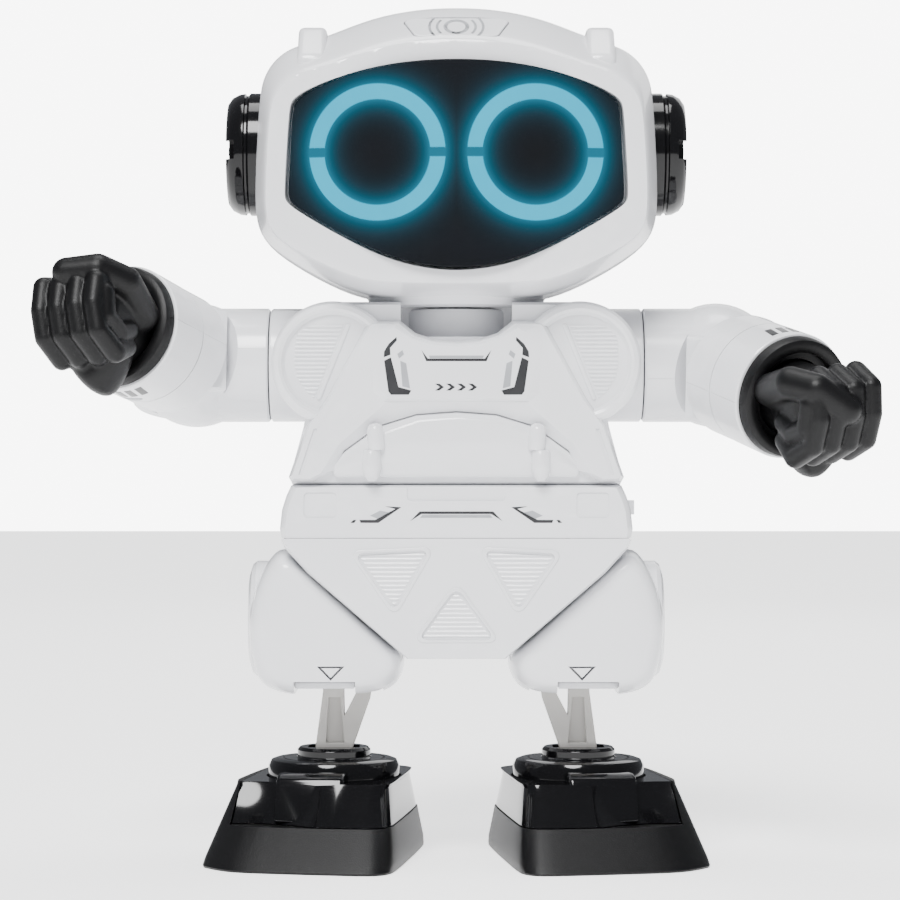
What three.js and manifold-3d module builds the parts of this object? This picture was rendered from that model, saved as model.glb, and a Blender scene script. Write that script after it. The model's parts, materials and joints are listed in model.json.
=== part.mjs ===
// A small dancing toy robot, built as separate moulded shells, pins and a drive.
// Millimetres, +Z up. The robot faces -Y, so its own left side is +X.
import * as THREE from 'three';
import { mergeVertices } from 'three/addons/utils/BufferGeometryUtils.js';
import Module from 'manifold-3d';

const wasm = await Module();
wasm.setup();

// ---------- driving dimensions ----------
const GAP = 0.3; // clearance between pieces that touch
const WALL = 2.2; // thickness of the moulded shells
const PIN_RADIUS = 1.5;
const BORE_RADIUS = PIN_RADIUS + GAP;

const HEAD_TOP = 203.5;
const HEAD_BASE = 134.5;
const HEAD_FRONT = -33;
const HEAD_BACK = 32;
const HEAD_SEAM = 2; // plane where the two head shells meet
// The head's rim slopes back from a smaller front face, and its rear is drawn in the same way.
const RIM = { depth: 14, across: 0.926, up: 0.812, about: 150.4 };
const HEAD_REAR = { across: 0.84, up: 0.8, about: 168, narrowing: 0.05, from: 16 };
const EYE = { x: 18.4, z: 167.6, outer: 15.9, inner: 12.3, split: 2.3 };
const EAR = { z: 170.4, radius: 14.9, seat: 46.6, reach: 55.5 };
const NECK = { collar: 22, ring: 12.8, post: 6, seam: 132.6 };

const TORSO_FRONT = -21;
const TORSO_BACK = 26;
const TORSO_BASE = 90.6;
const TORSO_TOP = 133.6;
const SHOULDER = { z: 119, x: 45, stub: 14.3, boss: 14.5, bossX: 29 };

const PELVIS_TOP = 90.3;
const PELVIS_BASE = 49;
const PELVIS_FRONT = -23;
const PELVIS_BACK = 21;

const ARM = { radius: 13.8, elbow: 63, ball: 15.05, lift: 15, bend: 26 };
const CUP = { radius: 15.2, core: 12.2, half: 10.1, open: [157, 328], spare: 6 };
const ELBOW_TRAVEL = 55; // degrees from the bent stop towards straight
const FOREARM = { radius: 14.8, start: 12, seam: 22, end: 34.4, ring: 14.3, ringFront: 38 };

const LEG_X = 29.7;
const HIP = { x: 27.7, z: 54 };
const SWAY = { linkX: 24.8, linkZ: 62.8 };
const ANKLE_Z = 20;
const TURRET = { small: 8.7, big: 15.9, hub: 7.5, base: 18.1, step: 23.7, top: 26.4 };
const TOE_OUT = 9; // degrees
const DEPTH_SHIFT = 10.5; // puts the origin under the middle of the whole toy

const GEAR = { module: 0.6, teeth: 32, pinionTeeth: 8, z: SWAY.linkZ };
const CELL = { radius: 5.2, length: 44, pitch: 11, y: 17.4, z: 111 };

// ---------- solids ----------
function cleanMesh(geometry) {
  const bare = geometry.clone();
  bare.deleteAttribute('normal');
  bare.deleteAttribute('uv');
  const merged = mergeVertices(bare, 1e-4);
  const position = merged.attributes.position;
  const corners = [];
  for (let i = 0; i < merged.index.count; i += 3) {
    const [a, b, c] = [0, 1, 2].map((step) => merged.index.getX(i + step));
    if (a !== b && b !== c && c !== a) corners.push(a, b, c);
  }
  let volume = 0;
  const [p, q, r] = [new THREE.Vector3(), new THREE.Vector3(), new THREE.Vector3()];
  for (let i = 0; i < corners.length; i += 3) {
    p.fromBufferAttribute(position, corners[i]);
    q.fromBufferAttribute(position, corners[i + 1]);
    r.fromBufferAttribute(position, corners[i + 2]);
    volume += p.dot(q.cross(r));
  }
  if (volume < 0) corners.reverse();
  return { vertices: new Float32Array(position.array), corners: new Uint32Array(corners) };
}

function toSolid(geometry) {
  const { vertices, corners } = cleanMesh(geometry);
  const mesh = new wasm.Mesh({ numProp: 3, vertProperties: vertices, triVerts: corners });
  return new wasm.Manifold(mesh);
}

function toGeometry(solid) {
  const mesh = solid.getMesh();
  const geometry = new THREE.BufferGeometry();
  geometry.setAttribute('position', new THREE.BufferAttribute(mesh.vertProperties, 3));
  geometry.setIndex(new THREE.BufferAttribute(mesh.triVerts, 1));
  return geometry;
}

function combine(operation, first, others) {
  return toGeometry(others.reduce((sum, next) => sum[operation](toSolid(next)), toSolid(first)));
}

const join = (first, ...others) => combine('add', first, others);
const cut = (first, ...others) => combine('subtract', first, others);
const common = (first, ...others) => combine('intersect', first, others);
const mirrored = (geometry) => toGeometry(toSolid(geometry.clone().scale(-1, 1, 1)));

// ---------- simple shapes ----------
const degrees = THREE.MathUtils.degToRad;

function block(x0, x1, y0, y1, z0, z1) {
  const shape = new THREE.BoxGeometry(x1 - x0, y1 - y0, z1 - z0);
  return shape.translate((x0 + x1) / 2, (y0 + y1) / 2, (z0 + z1) / 2);
}

// A cylinder along an axis, from one place on it to another.
function rod(axis, radius, from, to, segments = 16) {
  const shape = new THREE.CylinderGeometry(radius, radius, to - from, segments);
  shape.translate(0, (from + to) / 2, 0);
  if (axis === 'x') shape.rotateZ(-Math.PI / 2);
  if (axis === 'z') shape.rotateX(Math.PI / 2);
  return shape;
}

// A turned piece: the profile is [radius, place on the axis].
function turned(axis, profile, segments = 20) {
  const closed = [...profile, profile[0]].map(([radius, along]) => new THREE.Vector2(radius, along));
  const shape = new THREE.LatheGeometry(closed, segments);
  if (axis === 'x') shape.rotateZ(-Math.PI / 2);
  if (axis === 'z') shape.rotateX(Math.PI / 2);
  return shape;
}

const points = (pairs) => pairs.map(([x, y]) => new THREE.Vector2(x, y));

// The right half of an outline, from its foot to its top, and its mirror image.
function symmetric(rightHalf) {
  const left = rightHalf.filter(([x]) => x > 0).map(([x, y]) => [-x, y]).reverse();
  return points([...rightHalf, ...left]);
}

// Moves each side of a counter-clockwise outline inwards.
function inset(outline, distance) {
  return outline.map((corner, index) => {
    const before = outline.at(index - 1);
    const after = outline[(index + 1) % outline.length];
    const arriving = corner.clone().sub(before).normalize();
    const leaving = after.clone().sub(corner).normalize();
    const inward = new THREE.Vector2(-arriving.y, arriving.x);
    const middle = inward.clone().add(new THREE.Vector2(-leaving.y, leaving.x)).normalize();
    return corner.clone().addScaledVector(middle, distance / middle.dot(inward));
  });
}

const AXES = {
  x: [new THREE.Vector3(0, 1, 0), new THREE.Vector3(0, 0, 1), new THREE.Vector3(1, 0, 0)],
  y: [new THREE.Vector3(1, 0, 0), new THREE.Vector3(0, 0, 1), new THREE.Vector3(0, -1, 0)],
  z: [new THREE.Vector3(1, 0, 0), new THREE.Vector3(0, 1, 0), new THREE.Vector3(0, 0, 1)],
};

// Pushes an outline along an axis. Along Y the outline is drawn in X and Z, along X in Y and Z.
function extruded(axis, outline, from, to, bevel = null) {
  const shape = outline instanceof THREE.Shape ? outline : new THREE.Shape(outline);
  const [depth, size] = bevel ?? [0, 0];
  const geometry = new THREE.ExtrudeGeometry(shape, {
    depth: to - from - 2 * depth,
    curveSegments: 6,
    bevelEnabled: depth > 0,
    bevelThickness: depth,
    bevelSize: size,
    bevelOffset: -size,
    bevelSegments: 1,
  });
  geometry.translate(0, 0, (axis === 'y' ? -to : from) + depth);
  return geometry.applyMatrix4(new THREE.Matrix4().makeBasis(...AXES[axis]));
}

function reshaped(geometry, change) {
  const position = geometry.attributes.position;
  const place = new THREE.Vector3();
  for (let i = 0; i < position.count; i += 1) {
    change(place.fromBufferAttribute(position, i));
    position.setXYZ(i, place.x, place.y, place.z);
  }
  return geometry;
}

const onlyBefore = (geometry, y) => common(geometry, block(-150, 150, -150, y, -50, 300));
const onlyBehind = (geometry, y) => common(geometry, block(-150, 150, y, 150, -50, 300));

// ---------- materials and the assembly ----------
const FINISHES = {
  white: { color: 0xf4f5f7, roughness: 0.18, metalness: 0 },
  gloss_black: { color: 0x0b0c0e, roughness: 0.08, metalness: 0 },
  matte_black: { color: 0x1c1d20, roughness: 0.6, metalness: 0 },
  smoke: { color: 0x08090c, roughness: 0.04, metalness: 0 },
  cyan: { color: 0x76def2, roughness: 0.3, metalness: 0 },
  warm_grey: { color: 0xcfccc6, roughness: 0.45, metalness: 0 },
  steel: { color: 0xb8bbc0, roughness: 0.3, metalness: 1 },
  green: { color: 0x1d6b3c, roughness: 0.5, metalness: 0 },
  nylon: { color: 0xe8e2d2, roughness: 0.5, metalness: 0 },
  grey_tray: { color: 0x4a4c50, roughness: 0.5, metalness: 0 },
  cell_wrap: { color: 0x3a5f8f, roughness: 0.35, metalness: 0.3 },
};

const robot = new THREE.Group();

function piece(name, geometry, finish, parent = robot) {
  const { vertices, corners } = cleanMesh(geometry);
  const exact = new THREE.BufferGeometry();
  exact.setAttribute('position', new THREE.BufferAttribute(vertices, 3));
  exact.setIndex(new THREE.BufferAttribute(corners, 1));
  exact.computeVertexNormals();
  const mesh = new THREE.Mesh(exact, new THREE.MeshStandardMaterial(FINISHES[finish]));
  mesh.name = name;
  parent.add(mesh);
  return mesh;
}

const SIDES = [['left', 1], ['right', -1]];
const onSide = (geometry, side) => (side > 0 ? geometry : mirrored(geometry));

// ---------- head ----------
const HEAD_OUTLINE = symmetric([
  [0, HEAD_BASE], [22, HEAD_BASE], [33, 139.7], [44.5, 147.1], [47.9, 156],
  [46.6, 183.6], [43.8, 190.4], [37, 194.6], [29.6, 197.2], [14, 202.6], [0, HEAD_TOP],
]);
const VISOR_OUTLINE = symmetric([
  [0, 140.3], [12.6, 141.9], [21.9, 145.7], [31.2, 150.8], [39.6, 157.2],
  [38.2, 179.9], [31.2, 183.8], [20, 187.3], [10, 188.9], [0, 189.2],
]);
const VISOR = { front: -35.5, thickness: 2.5, bulge: 192 };

function earSeats(radius, from) {
  return [1, -1].map((side) => {
    const seat = rod('x', radius, from, 70, 32).translate(0, HEAD_SEAM, EAR.z);
    return side > 0 ? seat : seat.scale(-1, 1, 1);
  });
}

// The button lies on the sloping rim above the visor; this turns a flat piece to that slope.
const RIM_TOP = RIM.about + (HEAD_TOP - RIM.about) * RIM.up;
const SLOPE = Math.atan2(HEAD_TOP - RIM_TOP, RIM.depth);
const BUTTON = { width: 25, length: 9, proud: 0.6, depth: 2.6, setback: 5.2 };
const BUTTON_CENTRE = [0, HEAD_FRONT + BUTTON.setback, RIM_TOP + BUTTON.setback * Math.tan(SLOPE)];

function buttonBlock(margin, bottom, top) {
  const [width, length] = [BUTTON.width / 2 + margin, BUTTON.length / 2 + margin];
  const outline = points([[-width + 2, -length], [width - 2, -length], [width, -length + 2],
    [width, length - 2], [width - 2, length], [-width + 2, length],
    [-width, length - 2], [-width, -length + 2]]);
  return extruded('z', outline, bottom, top).rotateX(SLOPE).translate(...BUTTON_CENTRE);
}

// A block in the head's outline whose front and back faces are drawn in.
function headBlank(outline, front, back) {
  const blank = extruded('y', outline, front, back, [RIM.depth, 0]);
  return reshaped(blank, (place) => {
    if (place.y > front + 1 && place.y < back - 1) return;
    const end = place.y < 0 ? RIM : HEAD_REAR;
    place.x *= end.across;
    place.z = end.about + (place.z - end.about) * end.up;
  });
}

// Seen from the side, a crest rises up the sloping rim and runs back over the head.
const RIDGE = points([[-29.5, 186], [-29.5, 190.5], [-21, 198.4], [14, 198.4], [15, 186]]);

function headShell() {
  const outer = headBlank(HEAD_OUTLINE, HEAD_FRONT, HEAD_BACK);
  const inner = headBlank(inset(HEAD_OUTLINE, 2.4), HEAD_FRONT + 2.6, HEAD_BACK - 2.6);
  const ridge = extruded('x', RIDGE, 30.6, 37.2);
  const crest = join(ridge, mirrored(ridge));
  const collarHole = rod('z', NECK.collar + GAP, 120, 142, 32);
  return cut(join(outer, crest), inner, collarHole, ...earSeats(EAR.radius + GAP, EAR.seat - GAP));
}

function eyeArcs(margin, from, to) {
  const angle = Math.asin((EYE.split / 2 - margin) / EYE.inner);
  const arc = (start) => {
    const shape = new THREE.Shape();
    shape.absarc(0, 0, EYE.outer + margin, start + angle, start + Math.PI - angle, false);
    shape.absarc(0, 0, EYE.inner - margin, start + Math.PI - angle, start + angle, true);
    return extruded('y', shape, from, to);
  };
  return [arc(0), arc(Math.PI)];
}

function visorBulge(inside) {
  const radius = VISOR.bulge - inside;
  return rod('z', radius, 100, 220, 96).translate(0, VISOR.front + VISOR.bulge, 0);
}

function visorPlate() {
  const blank = extruded('y', VISOR_OUTLINE, -40, -20);
  const slots = SIDES.flatMap(([, side]) => eyeArcs(GAP, -40, -20)
    .map((arc) => arc.translate(side * EYE.x, 0, EYE.z)));
  return cut(common(blank, visorBulge(0)), visorBulge(VISOR.thickness), ...slots);
}

// A ring behind the visor with two arcs that reach through it and end flush with its front.
function eyeGuide(side) {
  const centre = [side * EYE.x, 0, EYE.z];
  const ring = turned('y', [[EYE.inner - 0.5, -29.4], [EYE.outer + 0.5, -29.4],
    [EYE.outer + 0.5, -27.4], [EYE.inner - 0.5, -27.4]], 18).translate(...centre);
  const arcs = eyeArcs(0, -40, -28).map((arc) => common(arc.translate(...centre), visorBulge(0)));
  return join(ring, ...arcs);
}

function headPieces() {
  const shell = headShell();
  const opening = extruded('y', inset(VISOR_OUTLINE, -GAP), -45, HEAD_FRONT + 8);
  const front = cut(onlyBefore(shell, HEAD_SEAM - GAP / 2), opening, buttonBlock(GAP, -12, 12));
  const rear = reshaped(onlyBehind(shell, HEAD_SEAM + GAP / 2), (place) => {
    const back = Math.max(0, place.y - HEAD_REAR.from) / (HEAD_BACK - HEAD_REAR.from);
    place.x *= 1 - HEAD_REAR.narrowing * back;
  });
  piece('head_front_shell', front, 'white');
  piece('head_rear_shell', rear, 'white');
  piece('visor', visorPlate(), 'smoke');
  piece('touch_button', buttonBlock(0, BUTTON.proud - BUTTON.depth, BUTTON.proud), 'white');
  piece('light_board', block(-34, 34, -25.6, -24, 152, 183), 'green');
  for (const [name, side] of SIDES) {
    piece(`eye_light_guide_${name}`, eyeGuide(side), 'cyan');
    const ear = turned('x', [[0, EAR.seat], [EAR.radius, EAR.seat], [EAR.radius, 50.6], [14.2, 51.6],
      [13.9, 53.6], [12.4, EAR.reach], [10.6, EAR.reach - 0.2], [9.8, 54.4], [0, 54.9]]);
    piece(`ear_${name}`, onSide(ear, side).translate(0, HEAD_SEAM, EAR.z), 'gloss_black');
  }
  const collar = turned('z', [[NECK.post + GAP, NECK.seam], [20.4, NECK.seam], [NECK.collar, 136],
    [NECK.collar, 138.6], [NECK.post + GAP, 138.6]]);
  piece('neck_collar', collar, 'white');
}

// ---------- torso ----------
const TORSO_OUTLINE = symmetric([
  [0, TORSO_BASE], [40.2, TORSO_BASE], [35.6, 106], [31.5, 130.5], [28, TORSO_TOP], [0, TORSO_TOP],
]);
const CHEST_OUTLINE = symmetric([
  [0, 109.2], [16.5, 109], [34.5, 90.8], [38.8, 90.8], [31.5, 106.4], [21, 128.3],
  [12.8, 128.5], [9.5, 125.2], [0, 124.2],
]);
const BELLY_OUTLINE = symmetric([
  [0, 91.9], [28.6, 91.9], [26.6, 97.5], [17.5, 104.8], [9, 107.2], [0, 107.8],
]);
const SCREW = { post: 3.8, bore: 1.4, seat: 2.9, head: 2.6, shank: 1.1 };
const TORSO_SCREWS = [[31.5, 97], [-31.5, 97]];
const DOOR = { half: 22, base: 96, top: 127, y: 25, thickness: 2 };

function screwPosts(places, from, to, radius) {
  return places.map(([x, z]) => rod('y', radius, from, to, 16).translate(x, 0, z));
}

function shoulderBlank() {
  const sides = [1, -1].map((side) => {
    const boss = rod('y', SHOULDER.boss, -17.5, 0, 20).translate(side * SHOULDER.bossX, 0, 119.8);
    return boss;
  });
  const stub = rod('x', SHOULDER.stub, -SHOULDER.x + GAP / 2, SHOULDER.x - GAP / 2, 20);
  return join(stub.translate(0, 0, SHOULDER.z), ...sides);
}

function torsoBlank() {
  const body = extruded('y', TORSO_OUTLINE, TORSO_FRONT, TORSO_BACK, [4, 4]);
  const hollow = extruded('y', inset(TORSO_OUTLINE, WALL), TORSO_FRONT + WALL, TORSO_BACK - WALL,
    [1.2, 1.2]);
  const stubHollow = rod('x', SHOULDER.stub - WALL, -43, 43, 18).translate(0, 0, SHOULDER.z);
  const axleHole = rod('x', 3 + GAP, -50, 50, 16).translate(0, 0, SHOULDER.z);
  const baseHole = block(-30, 30, -14, 18, 80, 95);
  const neckHole = rod('z', NECK.post + GAP, 120, 140, 18);
  const collarSeat = rod('z', NECK.collar + 0.8, NECK.seam - GAP, 140, 20);
  const ringSeat = rod('z', NECK.ring + GAP, 124, 140, 32);
  const shell = cut(join(body, shoulderBlank()), hollow, stubHollow, axleHole, baseHole);
  return cut(shell, neckHole, ringSeat, collarSeat);
}

function screw(x, y, z) {
  const head = rod('y', SCREW.head, -1.7, 0, 16);
  return join(head, rod('y', SCREW.shank, -14, -1, 12)).translate(x, y, z);
}

function doorOpening(margin) {
  return block(-DOOR.half - margin, DOOR.half + margin, 20, 30, DOOR.base - 1 - margin,
    DOOR.top + margin);
}

function torsoPieces() {
  const blank = torsoBlank();
  const frontPosts = screwPosts(TORSO_SCREWS, TORSO_FRONT + 1.5, -GAP / 2, SCREW.post);
  const frontBores = screwPosts(TORSO_SCREWS, -16, 10, SCREW.bore);
  const neckline = extruded('y', points([[-NECK.ring - 1, 125.6], [NECK.ring + 1, 125.6],
    [NECK.ring + 1, 140], [-NECK.ring - 1, 140]]), -30, -8);
  const front = cut(join(onlyBefore(blank, -GAP / 2), ...frontPosts), neckline, ...frontBores);
  piece('torso_front_shell', front, 'white');

  const rearPosts = screwPosts(TORSO_SCREWS, GAP / 2, TORSO_BACK - 1, SCREW.post);
  const rearBores = screwPosts(TORSO_SCREWS, -5, 40, SCREW.bore);
  const headSeats = screwPosts(TORSO_SCREWS, TORSO_BACK - 5, 40, SCREW.seat);
  const rear = cut(join(onlyBehind(blank, GAP / 2), ...rearPosts), ...rearBores, ...headSeats,
    doorOpening(GAP));
  piece('torso_rear_shell', rear, 'white');
  TORSO_SCREWS.forEach(([x, z], index) => {
    piece(`torso_screw_${index + 1}`, screw(x, TORSO_BACK - 3, z), 'steel');
  });

  piece('chest_plate', extruded('y', CHEST_OUTLINE, -25, TORSO_FRONT - GAP, [1.4, 1.2]), 'white');
  const pegs = [1, -1].flatMap((side) => [
    rod('z', 2.1, 98.6, 103.4, 12).translate(side * 18.4, -24.2, 0),
    rod('z', 2.2, 91.2, 98, 12).translate(side * 20, -24.2, 0),
  ]);
  const belly = extruded('y', BELLY_OUTLINE, -24.4, TORSO_FRONT - GAP, [1, 1]);
  piece('belly_plate', join(belly, ...pegs), 'white');

  const top = NECK.seam - GAP;
  const post = turned('z', [[3, 122], [NECK.post, 122], [NECK.post, 125.8], [NECK.ring, 125.8],
    [NECK.ring, top], [NECK.post, top], [NECK.post, 138.9], [9, 138.9], [9, 140.6], [3, 140.6]]);
  const flat = block(-20, 20, 10.1, 20, 120, 134);
  piece('neck_post', cut(post, flat), 'white');
}

function batteryPieces() {
  const { half, base, top, y, thickness } = DOOR;
  const plate = block(-half, half, y - thickness / 2, y + thickness / 2, base, top);
  const knuckle = rod('x', thickness / 2, -half, half, 12).translate(0, y, base);
  piece('battery_door', join(plate, knuckle), 'white');

  const reach = CELL.length / 2 + 1.4;
  const [low, high] = [CELL.z - 16.8, CELL.z + 16.8];
  const tray = block(-reach - 1.2, reach + 1.2, 10.4, 22.8, low - 1, high + 1);
  piece('battery_box', cut(tray, block(-reach, reach, 11.6, 30, low, high)), 'grey_tray');
  for (let row = -1; row <= 1; row += 1) {
    const body = rod('x', CELL.radius, -CELL.length / 2, CELL.length / 2 - 1, 20);
    const cap = rod('x', 1.9, CELL.length / 2 - 1.2, CELL.length / 2, 12);
    const cell = join(body, cap);
    if (row === 0) cell.rotateZ(Math.PI);
    piece(`battery_cell_${row + 2}`, cell.translate(0, CELL.y, CELL.z + row * CELL.pitch), 'cell_wrap');
  }
  for (const [name, side] of SIDES) {
    const strip = block(reach - 0.8, reach - GAP, 12.5, 22, low + 1, high - 1);
    piece(`battery_contact_${name}`, onSide(strip, side), 'steel');
  }
  piece('circuit_board', block(-23, 23, 3, 4.6, 93.5, 121), 'green');
  const speaker = turned('y', [[0, -17], [13, -17], [14, -16], [14, -13.5], [7, -11], [7, -7], [0, -7]]);
  piece('speaker', speaker.translate(0, 0, 108), 'matte_black');
}

// ---------- pelvis and drive ----------
const PELVIS_OUTLINE = symmetric([
  [0, PELVIS_BASE], [12.2, PELVIS_BASE], [35.5, 69.2], [41.3, 75], [42.3, 79], [41.8, 82.6],
  [40.6, 87.2], [38.4, PELVIS_TOP], [0, PELVIS_TOP],
]);
const PELVIS_SCREWS = [[25.5, 81], [-25.5, 81]];
const SWITCH = { y: -7, length: 4, travel: 4, z: 84.6, half: 1.7 };

function pelvisBlank() {
  const lip = extruded('y', PELVIS_OUTLINE, PELVIS_FRONT, PELVIS_FRONT + 2.2, [1, 1]);
  const wedge = extruded('y', inset(PELVIS_OUTLINE, 1.2), PELVIS_FRONT + 1.5, PELVIS_BACK, null);
  const band = common(extruded('y', PELVIS_OUTLINE, PELVIS_FRONT, PELVIS_BACK, [3, 3]),
    block(-60, 60, -40, 40, 77, 100));
  const hollow = extruded('y', inset(PELVIS_OUTLINE, 1.2 + WALL), PELVIS_FRONT + WALL,
    PELVIS_BACK - WALL, [2, 2]);
  const openTop = block(-30, 30, -14, 16, 85, 100);
  const leverSlots = [1, -1].map((side) => onSide(block(17, 36, -4, 12.4, 57, 68.6), side));
  const switchSlot = block(36, 50, SWITCH.y - 2.4, SWITCH.y + SWITCH.travel + 2.4,
    SWITCH.z - SWITCH.half - GAP, SWITCH.z + SWITCH.half + GAP);
  return cut(join(lip, wedge, band), hollow, openTop, ...leverSlots, switchSlot);
}

function gearOutline(teeth, module) {
  const pitch = (teeth * module) / 2;
  const [root, tip] = [pitch - 1.15 * module, pitch + 0.85 * module];
  const step = (2 * Math.PI) / teeth;
  const outline = [];
  for (let tooth = 0; tooth < teeth; tooth += 1) {
    const middle = tooth * step;
    for (const [radius, share] of [[root, -0.36], [tip, -0.13], [tip, 0.13], [root, 0.36]]) {
      const angle = middle + share * step;
      outline.push(new THREE.Vector2(radius * Math.cos(angle), radius * Math.sin(angle)));
    }
  }
  return outline;
}

function drivePieces() {
  const { module, teeth, pinionTeeth, z } = GEAR;
  const centres = (module * (teeth + pinionTeeth)) / 2 + 0.1;
  const motorZ = z + centres;
  // The gear's tooth points at the pinion's gap straight above it.
  const wheel = extruded('y', gearOutline(teeth, module), 12.4, 15.4);
  const axle = rod('y', PIN_RADIUS, 12, 18.2, 16);
  const crankPin = rod('y', 1.2, 9.4, 13, 12).translate(0, 0, 1.6);
  piece('drive_gear', join(wheel, axle, crankPin).translate(0, 0, z), 'nylon');

  const half = Math.PI / pinionTeeth;
  const small = extruded('y', gearOutline(pinionTeeth, module), 12.2, 15.6).rotateY(half);
  const shaftBore = rod('y', 1 + 0.05, 10, 20, 12);
  piece('motor_pinion', cut(small, shaftBore).translate(0, 0, motorZ), 'nylon');
  const can = common(rod('y', 10, -15, 9.6, 32), block(-10, 10, -20, 20, -7.2, 7.2));
  const motor = join(can, rod('y', 1, 9, 16.6, 12), rod('y', 3, -16, -14, 12));
  piece('drive_motor', motor.translate(0, 0, motorZ), 'steel');

  const yoke = block(-8, 8, 9.6, 11.8, z - 4.6, z + 4.6);
  const bar = block(-SWAY.linkX - 3.6, SWAY.linkX + 3.6, 9.6, 11.8, z - 3.6, z + 3.6);
  const yokeSlot = block(-4.5, 4.5, 5, 15, z - 3.1, z + 3.1);
  const endSlots = [1, -1].map((side) => block(side * SWAY.linkX - 1.9, side * SWAY.linkX + 1.9, 5, 15,
    z - 2.6, z + 2.6));
  piece('sway_bar', cut(join(yoke, bar), yokeSlot, ...endSlots), 'warm_grey');

  const plate = block(-7, 7, 16.9, 18.4, z - 5, motorZ + 4);
  const plateBores = [rod('y', BORE_RADIUS, 10, 20, 16).translate(0, 0, z)];
  piece('gearbox_plate', cut(plate, ...plateBores), 'warm_grey');
}

function pelvisPieces() {
  const blank = pelvisBlank();
  const frontPosts = screwPosts(PELVIS_SCREWS, PELVIS_FRONT + 1.5, -GAP / 2, SCREW.post);
  const frontBores = screwPosts(PELVIS_SCREWS, -16, 10, SCREW.bore);
  piece('pelvis_front_shell', cut(join(onlyBefore(blank, -GAP / 2), ...frontPosts), ...frontBores), 'white');
  const rearPosts = screwPosts(PELVIS_SCREWS, GAP / 2, PELVIS_BACK - 1, SCREW.post);
  const rearBores = screwPosts(PELVIS_SCREWS, -5, 40, SCREW.bore);
  const headSeats = screwPosts(PELVIS_SCREWS, PELVIS_BACK - 5, 40, SCREW.seat);
  const rear = cut(join(onlyBehind(blank, GAP / 2), ...rearPosts), ...rearBores, ...headSeats);
  piece('pelvis_rear_shell', rear, 'white');
  PELVIS_SCREWS.forEach(([x, z], index) => {
    piece(`pelvis_screw_${index + 1}`, screw(x, PELVIS_BACK - 3, z), 'steel');
  });
  const { y, z, half } = SWITCH;
  const stem = block(35.4, 42.8, y - 2, y + 2, z - half, z + half);
  const slider = block(33.4, 35.5, y - 4, y + 4, z - 2.2, z + 2.2);
  piece('power_switch', join(stem, slider), 'matte_black');
}

// ---------- arms ----------
// A flat wedge between two bearings, counted from straight ahead towards the outside.
function sector(fromDegrees, toDegrees, from, to) {
  const steps = 4;
  const outline = [new THREE.Vector2(0, 0)];
  for (let i = 0; i <= steps; i += 1) {
    const bearing = degrees(fromDegrees + ((toDegrees - fromDegrees) * i) / steps);
    outline.push(new THREE.Vector2(Math.sin(bearing), -Math.cos(bearing)).multiplyScalar(40));
  }
  return extruded('z', outline, from, to);
}

// Everything of an arm is built round the elbow's centre, for the robot's left arm.
function upperArm() {
  const tube = rod('x', ARM.radius, SHOULDER.x + GAP / 2 - ARM.elbow, 0, 20);
  const ball = new THREE.SphereGeometry(ARM.ball, 20, 12).rotateX(Math.PI / 2);
  const swept = sector(CUP.open[1] - 360 - CUP.spare, CUP.open[0] + ELBOW_TRAVEL + 2, -11, 11);
  const half = CUP.half + GAP;
  const groove = common(cut(rod('z', 25, -half, half, 18), rod('z', CUP.core, -30, 30, 18)), swept);
  const slot = join(common(rod('z', CUP.core + 1, -3.3, 3.3, 18), swept), rod('z', 4.9, -3.3, 3.3, 20));
  const pinBore = rod('z', BORE_RADIUS, -9.8, 9.8, 16);
  const axle = join(rod('x', 3, -24.5, -16, 16), rod('x', 7, -24.5, -22.6, 20));
  return join(cut(join(tube, ball), groove, slot, pinBore), axle);
}

function forearm() {
  const turn = degrees(ARM.bend);
  const cup = cut(rod('z', CUP.radius, -CUP.half, CUP.half, 20), rod('z', CUP.core + GAP, -30, 30, 20));
  const tongue = rod('z', CUP.core + 1, -3, 3, 20);
  const opening = sector(CUP.open[0], CUP.open[1], -20, 20);
  const wrap = cut(join(cup, tongue), opening);
  const tube = rod('y', FOREARM.radius, -FOREARM.seam, -FOREARM.start, 20);
  const hollow = rod('y', FOREARM.radius - WALL, -30, -18, 20);
  const ball = new THREE.SphereGeometry(ARM.ball + 0.45, 20, 12).rotateX(Math.PI / 2);
  const sleeve = cut(tube, hollow, ball, rod('z', CUP.core + GAP, -30, 30, 20)).rotateZ(turn);
  const eye = rod('z', 4.6, -3, 3, 20);
  return cut(join(wrap, sleeve, eye), rod('z', BORE_RADIUS, -20, 20, 16));
}

function forearmCuff() {
  const { radius, seam, end } = FOREARM;
  return turned('y', [[radius - WALL, -end], [radius + 0.2, -end], [radius, -seam - GAP],
    [radius - WALL, -seam - GAP]], 20).rotateZ(degrees(ARM.bend));
}

function wristRing() {
  const { ring, end, ringFront } = FOREARM;
  return turned('y', [[9.2, -ringFront + 1.6], [11, -ringFront + 1.6], [11, -ringFront],
    [ring, -ringFront + 0.4], [ring, -end - GAP], [FOREARM.radius - WALL - GAP, -end - GAP],
    [FOREARM.radius - WALL - GAP, -25], [9.2, -25]], 20).rotateZ(degrees(ARM.bend));
}

function fist(roll) {
  const palm = new THREE.SphereGeometry(13, 16, 10).translate(0, -49, 0);
  const wrist = rod('y', 8.9, -46, -24, 20);
  const thumb = new THREE.CapsuleGeometry(3.6, 9, 4, 8).rotateZ(Math.PI / 2).translate(0, -50, 9.2);
  const solid = join(palm, wrist, thumb);
  return solid.rotateY(degrees(roll)).rotateZ(degrees(ARM.bend));
}

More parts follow.
